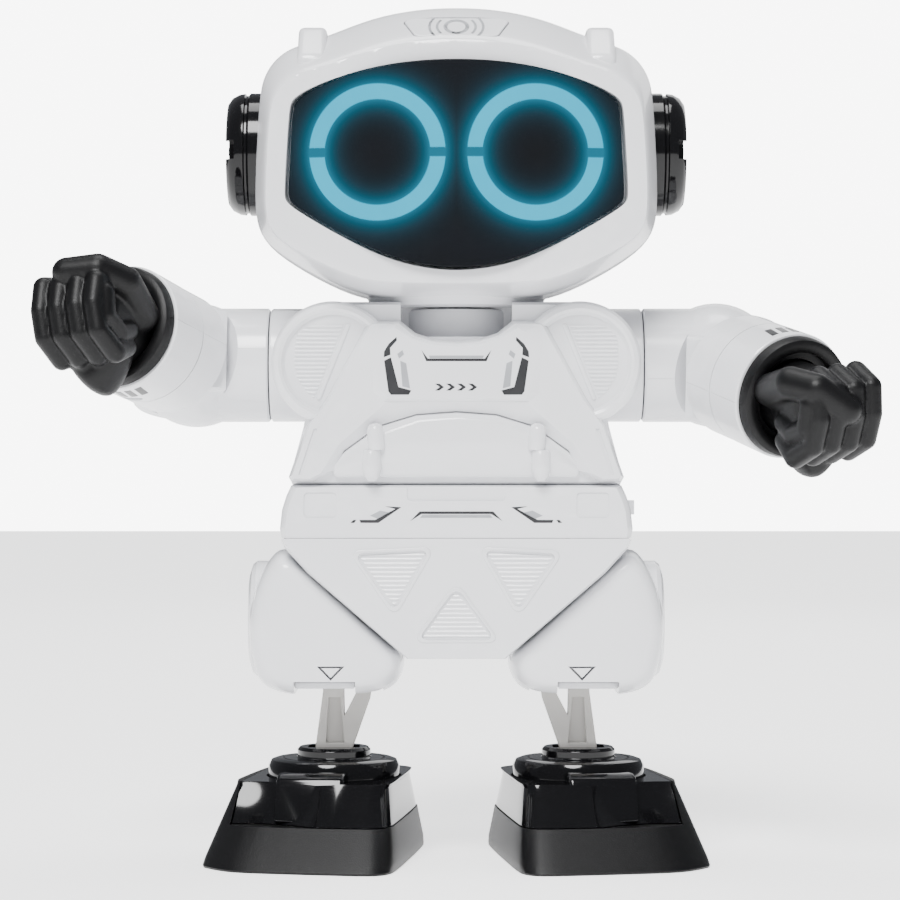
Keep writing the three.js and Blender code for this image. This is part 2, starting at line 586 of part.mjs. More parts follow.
function armPieces() {
  for (const [name, side] of SIDES) {
    const arm = new THREE.Group();
    arm.position.set(side * ARM.elbow, 0, SHOULDER.z);
    arm.rotation.x = degrees(side * ARM.lift);
    robot.add(arm);
    const add = (label, geometry, finish) => piece(`${label}_${name}`, onSide(geometry, side), finish, arm);
    add('upper_arm', upperArm(), 'white');
    add('elbow_pin', rod('z', PIN_RADIUS, -9.5, 9.5, 16), 'steel');
    add('forearm', forearm(), 'white');
    add('forearm_cuff', forearmCuff(), 'white');
    add('wrist_ring', wristRing(), 'matte_black');
    add('fist', fist(side > 0 ? 40 : 0), 'matte_black');
  }
}

// ---------- legs ----------
const THIGH_OUTLINE = points([
  [16.9, 39.6], [40.9, 39.9], [47.2, 42.5], [49.1, 49.8], [50.1, 57.1], [48.2, 65.7],
  [45.3, 71.7], [42.4, 75.2], [36.2, 69.1], [13, 49], [13.2, 45], [14.5, 42],
]);
const THIGH = { front: -19.5, back: 18, cap: 46.8 };

function thighBlank() {
  return extruded('y', THIGH_OUTLINE, THIGH.front, THIGH.back, [4, 3]);
}

function thighShell() {
  const { front, back, cap } = THIGH;
  const hollow = extruded('y', inset(THIGH_OUTLINE, WALL + 0.6), front + 3.4, back - 3.4);
  const notch = block(24, 38.6, front - 5, 0, 30, 43.6);
  const foot = block(17.6, 38.6, front + 3.4, 11, 30, 44);
  const innerWindow = block(16, 40, -5, 13, 50, 69);
  const bosses = [[front + 1, -3.6], [3.6, back - 1]].map(([from, to]) => rod('y', 3.4, from, to, 16)
    .translate(HIP.x, 0, HIP.z));
  const bore = rod('y', BORE_RADIUS, -14, 14, 16).translate(HIP.x, 0, HIP.z);
  const capSeat = rod('x', 15.6 + GAP, cap, 60, 32).translate(0, -1, 57.5);
  const shell = cut(thighBlank(), hollow, notch, foot, innerWindow);
  return cut(join(shell, ...bosses), bore, capSeat);
}

function thighCap() {
  const disc = rod('x', 15.6, THIGH.cap + GAP, 60, 32).translate(0, -1, 57.5);
  return common(thighBlank(), disc);
}

// A flat two-armed lever: foot eye below, pivot in the middle, link pin above and inwards.
function legLever() {
  const outline = points([
    [-3.4, ANKLE_Z], [-2.4, 17.6], [0, 16.6], [2.4, 17.6], [3.4, ANKLE_Z], [4.6, 25], [2.6, 40],
    [3.2, 50], [1.5, 57], [-2.4, 65], [-6.9, 65.4], [-7.8, 61], [-7.4, HIP.z], [-9.6, 43],
    [-8.8, 38], [-4.6, 26],
  ]).map((corner) => corner.setX(corner.x + LEG_X));
  const plate = extruded('y', outline, -3, 3);
  const linkPin = rod('y', PIN_RADIUS, 2, 12, 16).translate(SWAY.linkX, 0, SWAY.linkZ);
  const hipPin = rod('y', PIN_RADIUS, -13.5, 13.5, 16).translate(HIP.x, 0, HIP.z);
  const anklePin = rod('y', PIN_RADIUS, -7.5, 7.5, 16).translate(LEG_X, 0, ANKLE_Z);
  const ribWindow = extruded('y', points([[-6.8, 42], [-2.4, 42], [-2.6, 34]]), -9, 9);
  const pockets = [block(-2.4, 1.6, -9, -1.6, 27, 38), block(-2.4, 1.6, 1.6, 9, 27, 38)];
  const openings = [ribWindow, ...pockets].map((opening) => opening.translate(LEG_X, 0, 0));
  return cut(join(plate, linkPin, hipPin, anklePin), ...openings);
}

function ankleTurret() {
  const { small, big, hub, base, step, top } = TURRET;
  const body = turned('z', [[0, 11.4], [hub, 11.4], [hub, base], [big - 0.6, base], [big, base + 0.8],
    [big, step - 1.2], [big - 1.2, step], [small, step], [small, top - 0.5], [small - 0.5, top],
    [0, top]], 20);
  const slot = block(-6.2, 6.2, -3 - GAP, 3 + GAP, 15.6, 40);
  const pinBore = rod('y', BORE_RADIUS, -8, 8, 16).translate(0, 0, ANKLE_Z);
  return cut(body, slot, pinBore);
}

const SOLE_OUTLINE = points([
  [-20.5, -32], [-16.5, -38], [17, -36.5], [27.4, -27], [25.6, 20], [17, 32], [-12, 32], [-18.5, 24],
]);
const SHOE = { top: 19.4, wrap: 10.3, side: 21.6 };

function shoeBlank() {
  const taper = (place) => {
    const rise = place.z / SHOE.top;
    place.x *= 1 - (place.x > 0 ? 0.25 : 0.17) * rise;
    place.y *= 1 - (place.y < 0 ? 0.42 : 0.2) * rise;
    return place;
  };
  return reshaped(extruded('z', SOLE_OUTLINE, 0, SHOE.top), taper);
}

function shoePieces(side) {
  const blank = shoeBlank();
  const { wrap, side: outer } = SHOE;
  const low = block(-60, 60, -60, 60, -1, wrap);
  const outerWall = extruded('y', points([[outer, -1], [60, -1], [60, 30], [outer - 3.2, 30],
    [outer - 1.4, wrap]]), -60, 60);
  const sole = common(blank, join(low, outerWall));
  const hubBore = rod('z', TURRET.hub + GAP, 11, 40, 20);
  const discSeat = rod('z', TURRET.big + 0.5, TURRET.base - GAP, 40, 20);
  const upperZone = extruded('y', points([[-60, wrap + GAP], [outer - 1.4 - GAP, wrap + GAP],
    [outer - 3.2 - GAP, 30], [-60, 30]]), -60, 60);
  const tongue = extruded('x', points([[-26, 11.5], [-15, 11.5], [-15, 21.7], [-20, 21.7]]), -6.2, 9.7);
  const upper = cut(join(common(blank, upperZone), common(tongue, upperZone)), hubBore, discSeat);
  return { sole: onSide(cut(sole, discSeat), side), upper: onSide(upper, side) };
}

function legPieces() {
  for (const [name, side] of SIDES) {
    piece(`thigh_shell_${name}`, onSide(thighShell(), side), 'white');
    piece(`thigh_cap_${name}`, onSide(thighCap(), side), 'white');
    piece(`leg_lever_${name}`, onSide(legLever(), side), 'warm_grey');
    piece(`ankle_turret_${name}`, ankleTurret().translate(side * LEG_X, 0, 0), 'gloss_black');
    const foot = new THREE.Group();
    foot.position.x = side * LEG_X;
    foot.rotation.z = degrees(side * TOE_OUT);
    robot.add(foot);
    const { sole, upper } = shoePieces(side);
    piece(`shoe_upper_${name}`, upper, 'gloss_black', foot);
    piece(`shoe_sole_${name}`, sole, 'matte_black', foot);
  }
}

headPieces();
torsoPieces();
batteryPieces();
pelvisPieces();
drivePieces();
armPieces();
legPieces();

robot.position.y = DEPTH_SHIFT;

export default robot;
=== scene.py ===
# %% [markdown]
# # A dancing toy robot
# The real toy is a white moulded robot, a little over 20 cm tall, with a smoked visor, glowing
# eyes, black fists and black shoes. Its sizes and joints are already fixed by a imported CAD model.
# This lesson builds the surfaces that people see around that frame, one piece at a time.

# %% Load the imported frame
import json
import math

import bmesh
import bpy
from mathutils import Matrix, Vector


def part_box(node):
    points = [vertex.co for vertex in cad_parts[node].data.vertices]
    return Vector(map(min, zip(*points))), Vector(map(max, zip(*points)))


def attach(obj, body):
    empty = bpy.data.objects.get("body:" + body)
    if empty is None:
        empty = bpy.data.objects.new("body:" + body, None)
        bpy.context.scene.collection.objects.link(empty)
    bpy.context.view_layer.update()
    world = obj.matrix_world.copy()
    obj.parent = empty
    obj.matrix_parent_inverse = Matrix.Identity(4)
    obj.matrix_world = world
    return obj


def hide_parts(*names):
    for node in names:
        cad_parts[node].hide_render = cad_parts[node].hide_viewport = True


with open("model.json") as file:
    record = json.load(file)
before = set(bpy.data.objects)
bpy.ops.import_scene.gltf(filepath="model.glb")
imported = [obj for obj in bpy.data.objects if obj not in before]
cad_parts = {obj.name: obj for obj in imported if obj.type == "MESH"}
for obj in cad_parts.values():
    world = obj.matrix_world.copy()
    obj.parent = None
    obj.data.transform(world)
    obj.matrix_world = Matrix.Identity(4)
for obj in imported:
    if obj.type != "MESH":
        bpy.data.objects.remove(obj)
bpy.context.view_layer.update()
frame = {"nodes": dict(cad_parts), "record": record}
record = frame["record"]
print("nodes in the frame:", len(frame["nodes"]))

# %% [markdown]
# Sizes are easiest to think about in millimetres, measured from the line on which the neck turns.
# Blender works in metres, so each shape is drawn in millimetres and placed once, at the end.
# The joints' own positions come from the record, so nothing here can drift from the CAD.

# %% Joints and the placing matrix
MM = 0.001
JOINTS = {joint["name"]: joint for joint in record["behaviour"]["joints"]}


def pivot(joint_name):
    return Vector(JOINTS[joint_name]["pos_m"])


NECK = pivot("head_turn")
PLACE = Matrix.Translation((NECK.x, NECK.y, 0)) @ Matrix.Scale(MM, 4)
SIDES = (("left", 1), ("right", -1))
print("neck axis at", tuple(NECK))

# %% [markdown]
# ## Helpers for shapes
# A moulded part is nearly always an outline that is pushed through a depth, or a profile that is
# turned about an axis. Both could be drawn vertex by vertex. Extrude and spin are used instead,
# because the outline then stays readable and every face comes out joined to its neighbours.

# %% Slabs and turned shapes
AXES = {"x": Vector((1, 0, 0)), "y": Vector((0, 1, 0)), "z": Vector((0, 0, 1))}
SOFT_TURN = math.radians(32)


def on_plane(axis, across, up, along):
    if axis == "y":
        return Vector((across, along, up))
    if axis == "x":
        return Vector((along, across, up))
    return Vector((across, up, along))


def symmetric(half):
    """The right half of an outline, bottom to top, becomes the whole outline."""
    return half + [(-x, z) for x, z in reversed(half) if abs(x) > 1e-6]


def slab(axis, outline, low, high):
    shape = bmesh.new()
    face = shape.faces.new([shape.verts.new(on_plane(axis, a, b, low)) for a, b in outline])
    grown = bmesh.ops.extrude_face_region(shape, geom=[face], use_keep_orig=True)
    moved = [item for item in grown["geom"] if isinstance(item, bmesh.types.BMVert)]
    bmesh.ops.translate(shape, verts=moved, vec=AXES[axis] * (high - low))
    bmesh.ops.recalc_face_normals(shape, faces=shape.faces)
    return shape


def block(x0, x1, y0, y1, z0, z1):
    return slab("y", [(x0, z0), (x1, z0), (x1, z1), (x0, z1)], y0, y1)


def turned(axis, profile, steps=64, centre=(0, 0, 0)):
    """Spins (radius, distance along the axis) pairs once round the axis."""
    shape = bmesh.new()
    if axis == "z":
        corners = [Vector((r, 0, along)) for r, along in profile]
    elif axis == "y":
        corners = [Vector((r, along, 0)) for r, along in profile]
    else:
        corners = [Vector((along, 0, r)) for r, along in profile]
    dots = [shape.verts.new(corner) for corner in corners]
    lines = [shape.edges.new(pair) for pair in zip(dots, dots[1:])]
    bmesh.ops.spin(shape, geom=dots + lines, cent=(0, 0, 0), axis=AXES[axis],
                   angle=math.tau, steps=steps, use_merge=True)
    bmesh.ops.remove_doubles(shape, verts=shape.verts, dist=1e-4)
    bmesh.ops.holes_fill(shape, edges=shape.edges, sides=0)
    bmesh.ops.translate(shape, verts=shape.verts, vec=centre)
    bmesh.ops.recalc_face_normals(shape, faces=shape.faces)
    return shape


def rod(axis, radius, low, high, centre=(0, 0, 0), steps=48, edge=0.0):
    profile = [(0, low), (radius - edge, low), (radius, low + edge),
               (radius, high - edge), (radius - edge, high), (0, high)]
    if edge == 0:
        profile = [(0, low), (radius, low), (radius, high), (0, high)]
    return turned(axis, profile, steps, centre)


def turn(shape, axis, angle, centre=(0, 0, 0)):
    matrix = Matrix.Rotation(math.radians(angle), 3, AXES[axis])
    bmesh.ops.rotate(shape, verts=shape.verts, cent=centre, matrix=matrix)
    return shape


def shift(shape, x=0.0, y=0.0, z=0.0):
    bmesh.ops.translate(shape, verts=shape.verts, vec=(x, y, z))
    return shape


def mirrored(shape, side):
    """The other hand of a shape, by mirroring in the plane between left and right."""
    if side < 0:
        bmesh.ops.scale(shape, verts=shape.verts, vec=(-1, 1, 1))
        bmesh.ops.reverse_faces(shape, faces=shape.faces)
    return shape


def rounded(shape, width, segments=3, chosen=None):
    """Rounds the sharp edges, or the chosen ones."""
    if chosen is None:
        edges = [e for e in shape.edges if len(e.link_faces) == 2 and e.calc_face_angle() > SOFT_TURN]
    else:
        edges = [e for e in shape.edges if chosen(e)]
    bmesh.ops.bevel(shape, geom=edges, offset=width, offset_type="OFFSET", segments=segments,
                    profile=0.5, affect="EDGES", clamp_overlap=True, material=-1)
    return shape


def along_axis(axis):
    """Picks the edges that run the way the slab was pushed: the corners of its outline."""
    return lambda e: abs((e.verts[0].co - e.verts[1].co).normalized().dot(AXES[axis])) > 0.9


# %% [markdown]
# Holes and pockets are cut with the Boolean modifier and kept as plain mesh, and round forms are
# relaxed with the Subdivision Surface modifier. Each is applied straight away, so that the next
# step can work on the result and no helper object is left behind.

# %% Cutting, joining and relaxing
def as_object(shape, name="helper"):
    mesh = bpy.data.meshes.new(name)
    shape.to_mesh(mesh)
    shape.free()
    thing = bpy.data.objects.new(name, mesh)
    bpy.context.scene.collection.objects.link(thing)
    return thing


def applied(thing):
    """The shape with its modifiers applied; the helper object goes."""
    result = bmesh.new()
    result.from_object(thing, bpy.context.evaluated_depsgraph_get())
    bpy.data.objects.remove(thing)
    return result


def combined(operation, shape, tools):
    base = as_object(shape)
    helpers = [as_object(tool) for tool in tools]
    for helper in helpers:
        step = base.modifiers.new("cut", "BOOLEAN")
        step.operation = operation
        step.solver = "EXACT"
        step.object = helper
    result = applied(base)
    for helper in helpers:
        bpy.data.objects.remove(helper)
    bmesh.ops.remove_doubles(result, verts=result.verts, dist=1e-3)
    bmesh.ops.dissolve_limit(result, angle_limit=math.radians(0.5), verts=result.verts,
                             edges=result.edges)
    return result


def cut(shape, *tools):
    return combined("DIFFERENCE", shape, tools)


def join(shape, *tools):
    return combined("UNION", shape, tools)


def common(shape, *tools):
    return combined("INTERSECT", shape, tools)


def relaxed(shape, levels=2):
    thing = as_object(shape)
    step = thing.modifiers.new("relax", "SUBSURF")
    step.levels = step.render_levels = levels
    return applied(thing)


def gathered(*shapes):
    """Loose shapes in one mesh, for ribs and trim that only touch what they sit on."""
    whole = shapes[0]
    for other in shapes[1:]:
        mesh = bpy.data.meshes.new("loose")
        other.to_mesh(mesh)
        other.free()
        whole.from_mesh(mesh)
        bpy.data.meshes.remove(mesh)
    return whole


def copied(shape):
    return shape.copy()


# %% Set an edge's crease, and finish a piece
def creased(shape, chosen, amount):
    layer = shape.edges.layers.float.get("crease_edge")
    if layer is None:
        layer = shape.edges.layers.float.new("crease_edge")
    for edge in shape.edges:
        if chosen(edge):
            edge[layer] = amount
    return shape


def finish_piece(name, shape, body, material, replaces=(), edge=0.0, place=PLACE, segments=3):
    """Places the shape, softens its edges, gives it its material and ties it to its body and CAD nodes."""
    bmesh.ops.remove_doubles(shape, verts=shape.verts, dist=1e-4)
    shape.transform(place)
    bmesh.ops.recalc_face_normals(shape, faces=shape.faces)
    piece = as_object(shape, name)
    for face in piece.data.polygons:
        face.use_smooth = True
    if edge:
        soft = piece.modifiers.new("soft edges", "BEVEL")
        soft.width = edge * MM
        soft.segments = segments
        soft.limit_method = "ANGLE"
        soft.angle_limit = SOFT_TURN
        soft.harden_normals = True
        soft.miter_outer = "MITER_ARC"
    else:
        piece.data.set_sharp_from_angle(angle=math.radians(40))
    piece.data.materials.append(material)
    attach(piece, body)
    if replaces:
        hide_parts(*replaces)
    print(name, "faces", len(piece.data.polygons), "on", body)
    return piece

# %% [markdown]
# ## Finishes
# Moulded plastic is never one flat colour. Up close it has a faint unevenness from the mould, hair
# scratches from handling, a trace of dust on its upper faces and slightly rubbed edges, which are
# also lightened as a painted edge highlight. Each of these is wanted in several plastics, so each is
# a shader node group with its own inputs, and the materials place the groups with their own amounts.

# %% A short way to add nodes
def add(tree, kind, inputs=None, **settings):
    node = tree.nodes.new("ShaderNode" + kind)
    for key, value in settings.items():
        setattr(node, key, value)
    for key, value in (inputs or {}).items():
        if isinstance(value, bpy.types.NodeSocket):
            tree.links.new(value, node.inputs[key])
        else:
            node.inputs[key].default_value = value
    return node


def maths(tree, operation, first, second=0.0):
    node = add(tree, "Math", {0: first, 1: second}, operation=operation)
    return node.outputs[0]


def ramp(tree, value, low, high, start=0.0, end=1.0):
    node = add(tree, "MapRange", {"Value": value, "From Min": low, "From Max": high,
                                  "To Min": start, "To Max": end}, interpolation_type="SMOOTHSTEP")
    return node.outputs["Result"]


def new_group(name, inputs, outputs):
    group = bpy.data.node_groups.new(name, "ShaderNodeTree")
    for label, start in inputs.items():
        socket = group.interface.new_socket(name=label, in_out="INPUT",
                                            socket_type="NodeSocketFloat")
        socket.default_value = start
    for label in outputs:
        group.interface.new_socket(name=label, in_out="OUTPUT", socket_type="NodeSocketFloat")
    source = group.nodes.new("NodeGroupInput")
    sink = group.nodes.new("NodeGroupOutput")
    return group, source, sink


def placed(tree, group, **inputs):
    node = tree.nodes.new("ShaderNodeGroup")
    node.node_tree = group
    for key, value in inputs.items():
        node.inputs[key].default_value = value
    return node


# %% [markdown]
# Mould texture: a polished mould leaves a slow waviness, a blasted one leaves a fine grain. One
# group does both, as two noises of different size added into one height.

# %% The mould texture group
mould, source, sink = new_group("mould_texture", {"Grain Size": 0.0004, "Grain": 0.3, "Wave": 0.3},
                                ["Height", "Patches"])
place_in = add(mould, "TexCoord").outputs["Object"]
grain_scale = maths(mould, "DIVIDE", 1.0, source.outputs["Grain Size"])
grain = add(mould, "TexNoise", {"Vector": place_in, "Scale": grain_scale, "Detail": 3.0}).outputs[0]
wave = add(mould, "TexNoise", {"Vector": place_in, "Scale": 90.0, "Detail": 1.0}).outputs[0]
patches = add(mould, "TexNoise", {"Vector": place_in, "Scale": 38.0, "Detail": 4.0}).outputs[0]
height = maths(mould, "ADD", maths(mould, "MULTIPLY", grain, source.outputs["Grain"]),
               maths(mould, "MULTIPLY", wave, source.outputs["Wave"]))
mould.links.new(height, sink.inputs["Height"])
mould.links.new(patches, sink.inputs["Patches"])
print("group:", mould.name)

# %% [markdown]
# Hair scratches: noise that is squeezed hard along one direction turns into fine streaks, and
# only its highest values are kept. Two sets at different angles look like handling.

# %% The hair scratches group
scratches, source, sink = new_group("hair_scratches", {"Amount": 0.5}, ["Mask"])
place_in = add(scratches, "TexCoord").outputs["Object"]
streaks = []
for tilt in ((0.4, 0.3, 0.9), (1.3, 0.8, -0.5)):
    turned_in = add(scratches, "Mapping", {"Vector": place_in, "Rotation": tilt,
                                           "Scale": (60.0, 1900.0, 900.0)})
    noise = add(scratches, "TexNoise", {"Vector": turned_in.outputs[0], "Scale": 1.0,
                                        "Detail": 2.0, "Distortion": 0.2})
    streaks.append(ramp(scratches, noise.outputs[0], 0.66, 0.74))
both = maths(scratches, "MAXIMUM", streaks[0], streaks[1])
scratches.links.new(maths(scratches, "MULTIPLY", both, source.outputs["Amount"]), sink.inputs["Mask"])
print("group:", scratches.name)

# %% [markdown]
# Rubbed edges and dust: where the surface bends outwards it gets handled and is also lightened as a
# painted highlight, and where it faces up it gathers dust. Pointiness gives the first, and the
# normal's upward part gives the second.

# %% The rubbed and highlit edges and dust groups
edge_wear_and_highlight, source, sink = new_group("rubbed_and_highlit_edges", {"Amount": 0.5}, ["Mask"])
# Painted highlight: pointiness finds convex edges. This mask marks rubbing wear and also lightens those edges
# as a painted edge highlight.
bend = ramp(edge_wear_and_highlight, add(edge_wear_and_highlight, "NewGeometry").outputs["Pointiness"], 0.52, 0.6)
place_in = add(edge_wear_and_highlight, "TexCoord").outputs["Object"]
broken = add(edge_wear_and_highlight, "TexNoise", {"Vector": place_in, "Scale": 260.0, "Detail": 3.0}).outputs[0]
rubbed_and_highlit = maths(edge_wear_and_highlight, "MULTIPLY", bend, ramp(edge_wear_and_highlight, broken, 0.4, 0.62))
edge_wear_and_highlight.links.new(maths(edge_wear_and_highlight, "MULTIPLY", rubbed_and_highlit, source.outputs["Amount"]), sink.inputs["Mask"])

dust, source, sink = new_group("settled_dust", {"Amount": 0.2}, ["Mask"])
facing = add(dust, "SeparateXYZ", {"Vector": add(dust, "NewGeometry").outputs["Normal"]})
upward = ramp(dust, facing.outputs["Z"], 0.2, 1.0)
place_in = add(dust, "TexCoord").outputs["Object"]
specks = add(dust, "TexNoise", {"Vector": place_in, "Scale": 1400.0, "Detail": 2.0}).outputs[0]
clouds = add(dust, "TexNoise", {"Vector": place_in, "Scale": 70.0, "Detail": 3.0}).outputs[0]
settled = maths(dust, "MULTIPLY", maths(dust, "MULTIPLY", upward, ramp(dust, specks, 0.5, 0.7)),
                ramp(dust, clouds, 0.35, 0.65))
dust.links.new(maths(dust, "MULTIPLY", settled, source.outputs["Amount"]), sink.inputs["Mask"])
print("groups:", edge_wear_and_highlight.name, dust.name)

# %% [markdown]
# One recipe makes every plastic here: a base colour that drifts a little, scratches and dust that
# raise the roughness, and a bump from the mould texture. The differences between glossy white,
# glossy black and dull black are only numbers.

# %% The plastic recipe
def mix_colour(tree, amount, first, second):
    node = add(tree, "Mix", data_type="RGBA")
    for index, value in ((0, amount), (6, first), (7, second)):
        if isinstance(value, bpy.types.NodeSocket):
            tree.links.new(value, node.inputs[index])
        else:
            node.inputs[index].default_value = value
    return node.outputs[2]


def grey(value):
    return (value, value, value, 1.0)


def plastic(name, colour, drift, rough, coat=0.0, grain_size=0.0004, grain=0.2, wave=0.2,
            bump=0.1, scratch=0.3, rub_and_highlight=0.3, dusting=0.1, metal=0.0, specular=0.5,
            dust_colour=grey(0.55)):
    material = bpy.data.materials.new(name)
    material.use_nodes = True
    tree = material.node_tree
    shader = tree.nodes["Principled BSDF"]
    shader.inputs["Metallic"].default_value = metal
    shader.inputs["Coat Weight"].default_value = coat
    shader.inputs["Specular IOR Level"].default_value = specular
    shader.inputs["Coat Roughness"].default_value = 0.05
    surface = placed(tree, mould, **{"Grain Size": grain_size, "Grain": grain, "Wave": wave})
    hair = placed(tree, scratches, Amount=scratch).outputs[0]
    rubs_and_highlights = placed(tree, edge_wear_and_highlight, Amount=rub_and_highlight).outputs[0]
    film = placed(tree, dust, Amount=dusting).outputs[0]
    body = mix_colour(tree, ramp(tree, surface.outputs["Patches"], 0.3, 0.7), colour, drift)
    # Edges are mixed towards a lighter colour: part rubbing wear, part a painted edge highlight.
    worn_and_highlit = mix_colour(tree, rubs_and_highlights, body, tuple(min(1.0, c * 1.25 + 0.004) for c in colour[:3]) + (1,))
    dusty = mix_colour(tree, film, worn_and_highlit, dust_colour)
    tree.links.new(dusty, shader.inputs["Base Color"])
    marks = maths(tree, "ADD", maths(tree, "MULTIPLY", hair, 0.25), maths(tree, "MULTIPLY", rubs_and_highlights, 0.2))
    veil = maths(tree, "ADD", marks, maths(tree, "MULTIPLY", film, 0.4))
    tree.links.new(maths(tree, "ADD", veil, rough), shader.inputs["Roughness"])
    dent = maths(tree, "SUBTRACT", surface.outputs["Height"], maths(tree, "MULTIPLY", hair, 0.1))
    relief = add(tree, "Bump", {"Height": dent, "Strength": bump, "Distance": 0.0002})
    tree.links.new(relief.outputs[0], shader.inputs["Normal"])
    return material


WHITE = (0.80, 0.805, 0.825, 1)
white_plastic = plastic("white_plastic", WHITE, (0.78, 0.785, 0.81, 1), 0.2, coat=0.35,
                        grain=0.05, wave=0.12, bump=0.06, scratch=0.16, rub_and_highlight=0.12, dusting=0.05)
satin_white = plastic("satin_white", (0.74, 0.745, 0.77, 1), (0.72, 0.725, 0.75, 1), 0.42,
                      grain_size=0.00035, grain=0.4, bump=0.16, scratch=0.1, rub_and_highlight=0.1, dusting=0.05)
glossy_black = plastic("glossy_black", (0.0025, 0.0025, 0.003, 1),
                       (0.0035, 0.0035, 0.004, 1), 0.1, coat=0.0, grain=0.05, wave=0.2, bump=0.06,
                       scratch=0.12, rub_and_highlight=0.12, dusting=0.04, specular=0.34, dust_colour=grey(0.06))
dull_black = plastic("dull_black", (0.0022, 0.0022, 0.0025, 1),
                     (0.0036, 0.0036, 0.004, 1), 0.42, grain_size=0.00032, grain=0.9, wave=0.2,
                     bump=0.3, scratch=0.1, rub_and_highlight=0.2, dusting=0.06, specular=0.24,
                     dust_colour=grey(0.05))
leg_grey = plastic("leg_grey", (0.52, 0.505, 0.48, 1), (0.49, 0.475, 0.45, 1), 0.42,
                   grain=0.4, bump=0.2, scratch=0.3, rub_and_highlight=0.3, dusting=0.2)
steel = plastic("turned_steel", (0.55, 0.56, 0.58, 1), (0.47, 0.48, 0.5, 1), 0.3, metal=1.0,
                grain=0.5, bump=0.25, scratch=0.9, rub_and_highlight=0.5, dusting=0.1)
nylon = plastic("milky_nylon", (0.72, 0.68, 0.58, 1), (0.66, 0.62, 0.52, 1), 0.4,
                grain=0.5, bump=0.2, scratch=0.2, rub_and_highlight=0.3)
tray_grey = plastic("tray_grey", (0.07, 0.072, 0.078, 1), (0.09, 0.09, 0.095, 1), 0.5,
                    grain=0.8, bump=0.3, scratch=0.3, rub_and_highlight=0.4)
black_ink = plastic("black_ink", (0.012, 0.012, 0.014, 1), (0.02, 0.02, 0.022, 1),
                    0.3, coat=0.2, grain=0.5, bump=0.1, scratch=0.2)
grey_ink = plastic("grey_ink", (0.33, 0.34, 0.36, 1), (0.39, 0.4, 0.42, 1), 0.34,
                   grain=0.6, bump=0.12, scratch=0.2, metal=0.3)

# %% [markdown]
# The inner parts need their own looks: a circuit board with a weave under green lacquer and
# copper-bright traces, and cells in a printed wrapper with a bright band at one end.

# %% Circuit board and cells
board_green = plastic("board_green", (0.012, 0.11, 0.045, 1), (0.01, 0.085, 0.035, 1), 0.3,
                      coat=0.3, grain=0.4, bump=0.15, scratch=0.2)
tree = board_green.node_tree
shader = tree.nodes["Principled BSDF"]
before = shader.inputs["Base Color"].links[0].from_socket
cells_in = add(tree, "TexVoronoi", {"Vector": add(tree, "TexCoord").outputs["Object"],
                                    "Scale": 420.0}, feature="DISTANCE_TO_EDGE")
traces = ramp(tree, cells_in.outputs["Distance"], 0.05, 0.09, 1.0, 0.0)
tree.links.new(mix_colour(tree, traces, before, (0.1, 0.3, 0.09, 1)), shader.inputs["Base Color"])

cell_wrap = plastic("cell_wrap_blue", (0.03, 0.09, 0.24, 1), (0.04, 0.11, 0.28, 1), 0.28,
                    coat=0.4, grain=0.3, bump=0.08, scratch=0.4)
tree = cell_wrap.node_tree
shader = tree.nodes["Principled BSDF"]
before = shader.inputs["Base Color"].links[0].from_socket
where = add(tree, "SeparateXYZ", {"Vector": add(tree, "TexCoord").outputs["Object"]})
band = ramp(tree, maths(tree, "ABSOLUTE", where.outputs["X"]), 0.0155, 0.0160)
tree.links.new(mix_colour(tree, band, before, (0.6, 0.48, 0.22, 1)), shader.inputs["Base Color"])
print("inner finishes:", board_green.name, cell_wrap.name)

# %% [markdown]
# The visor is dark smoked plastic with lit rings behind it. Some of that light spreads in the
# plastic, so a soft halo of it is painted into the visor as emission, a painted glow: it is
# strongest against the ring and falls away to both sides. The ring's centre and size are read
# from the light guide's box.

# %% The glowing eyes and the smoked visor
CYAN = (0.0, 0.3, 0.48, 1)


def eye_box(side_name):
    low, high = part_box("eye_light_guide_" + side_name)
    return (Vector(low) + Vector(high)) / 2, (high[2] - low[2]) / 2


visor_smoke = plastic("visor_smoke", (0.004, 0.0045, 0.0055, 1), (0.005, 0.006, 0.008, 1), 0.07,
                      coat=0.0, grain=0.03, wave=0.25, bump=0.03, scratch=0.25, rub_and_highlight=0.1, dusting=0.03)
tree = visor_smoke.node_tree
shader = tree.nodes["Principled BSDF"]
# Painted glow: emission painted on the visor round each lit ring, standing in for light spread in the
# plastic.
painted_glows = []
for side_name, _ in SIDES:
    middle, reach = eye_box(side_name)
    place_in = add(tree, "TexCoord").outputs["Object"]
    offset = add(tree, "VectorMath", {0: place_in, 1: tuple(middle)}, operation="SUBTRACT").outputs[0]
    flat = add(tree, "VectorMath", {0: offset, 1: (1, 0, 1)}, operation="MULTIPLY").outputs[0]
    radius = add(tree, "VectorMath", {0: flat}, operation="LENGTH").outputs["Value"]
    from_ring = maths(tree, "ABSOLUTE", maths(tree, "SUBTRACT", radius, reach - 0.0024))
    beyond = maths(tree, "MAXIMUM", maths(tree, "SUBTRACT", from_ring, 0.0018), 0.0)
    painted_glows.append(maths(tree, "EXPONENT", maths(tree, "MULTIPLY", beyond, -560.0)))
painted_glow = maths(tree, "MAXIMUM", painted_glows[0], painted_glows[1])
tree.links.new(mix_colour(tree, painted_glow, grey(0.0), CYAN), shader.inputs["Emission Color"])
shader.inputs["Emission Strength"].default_value = 0.7

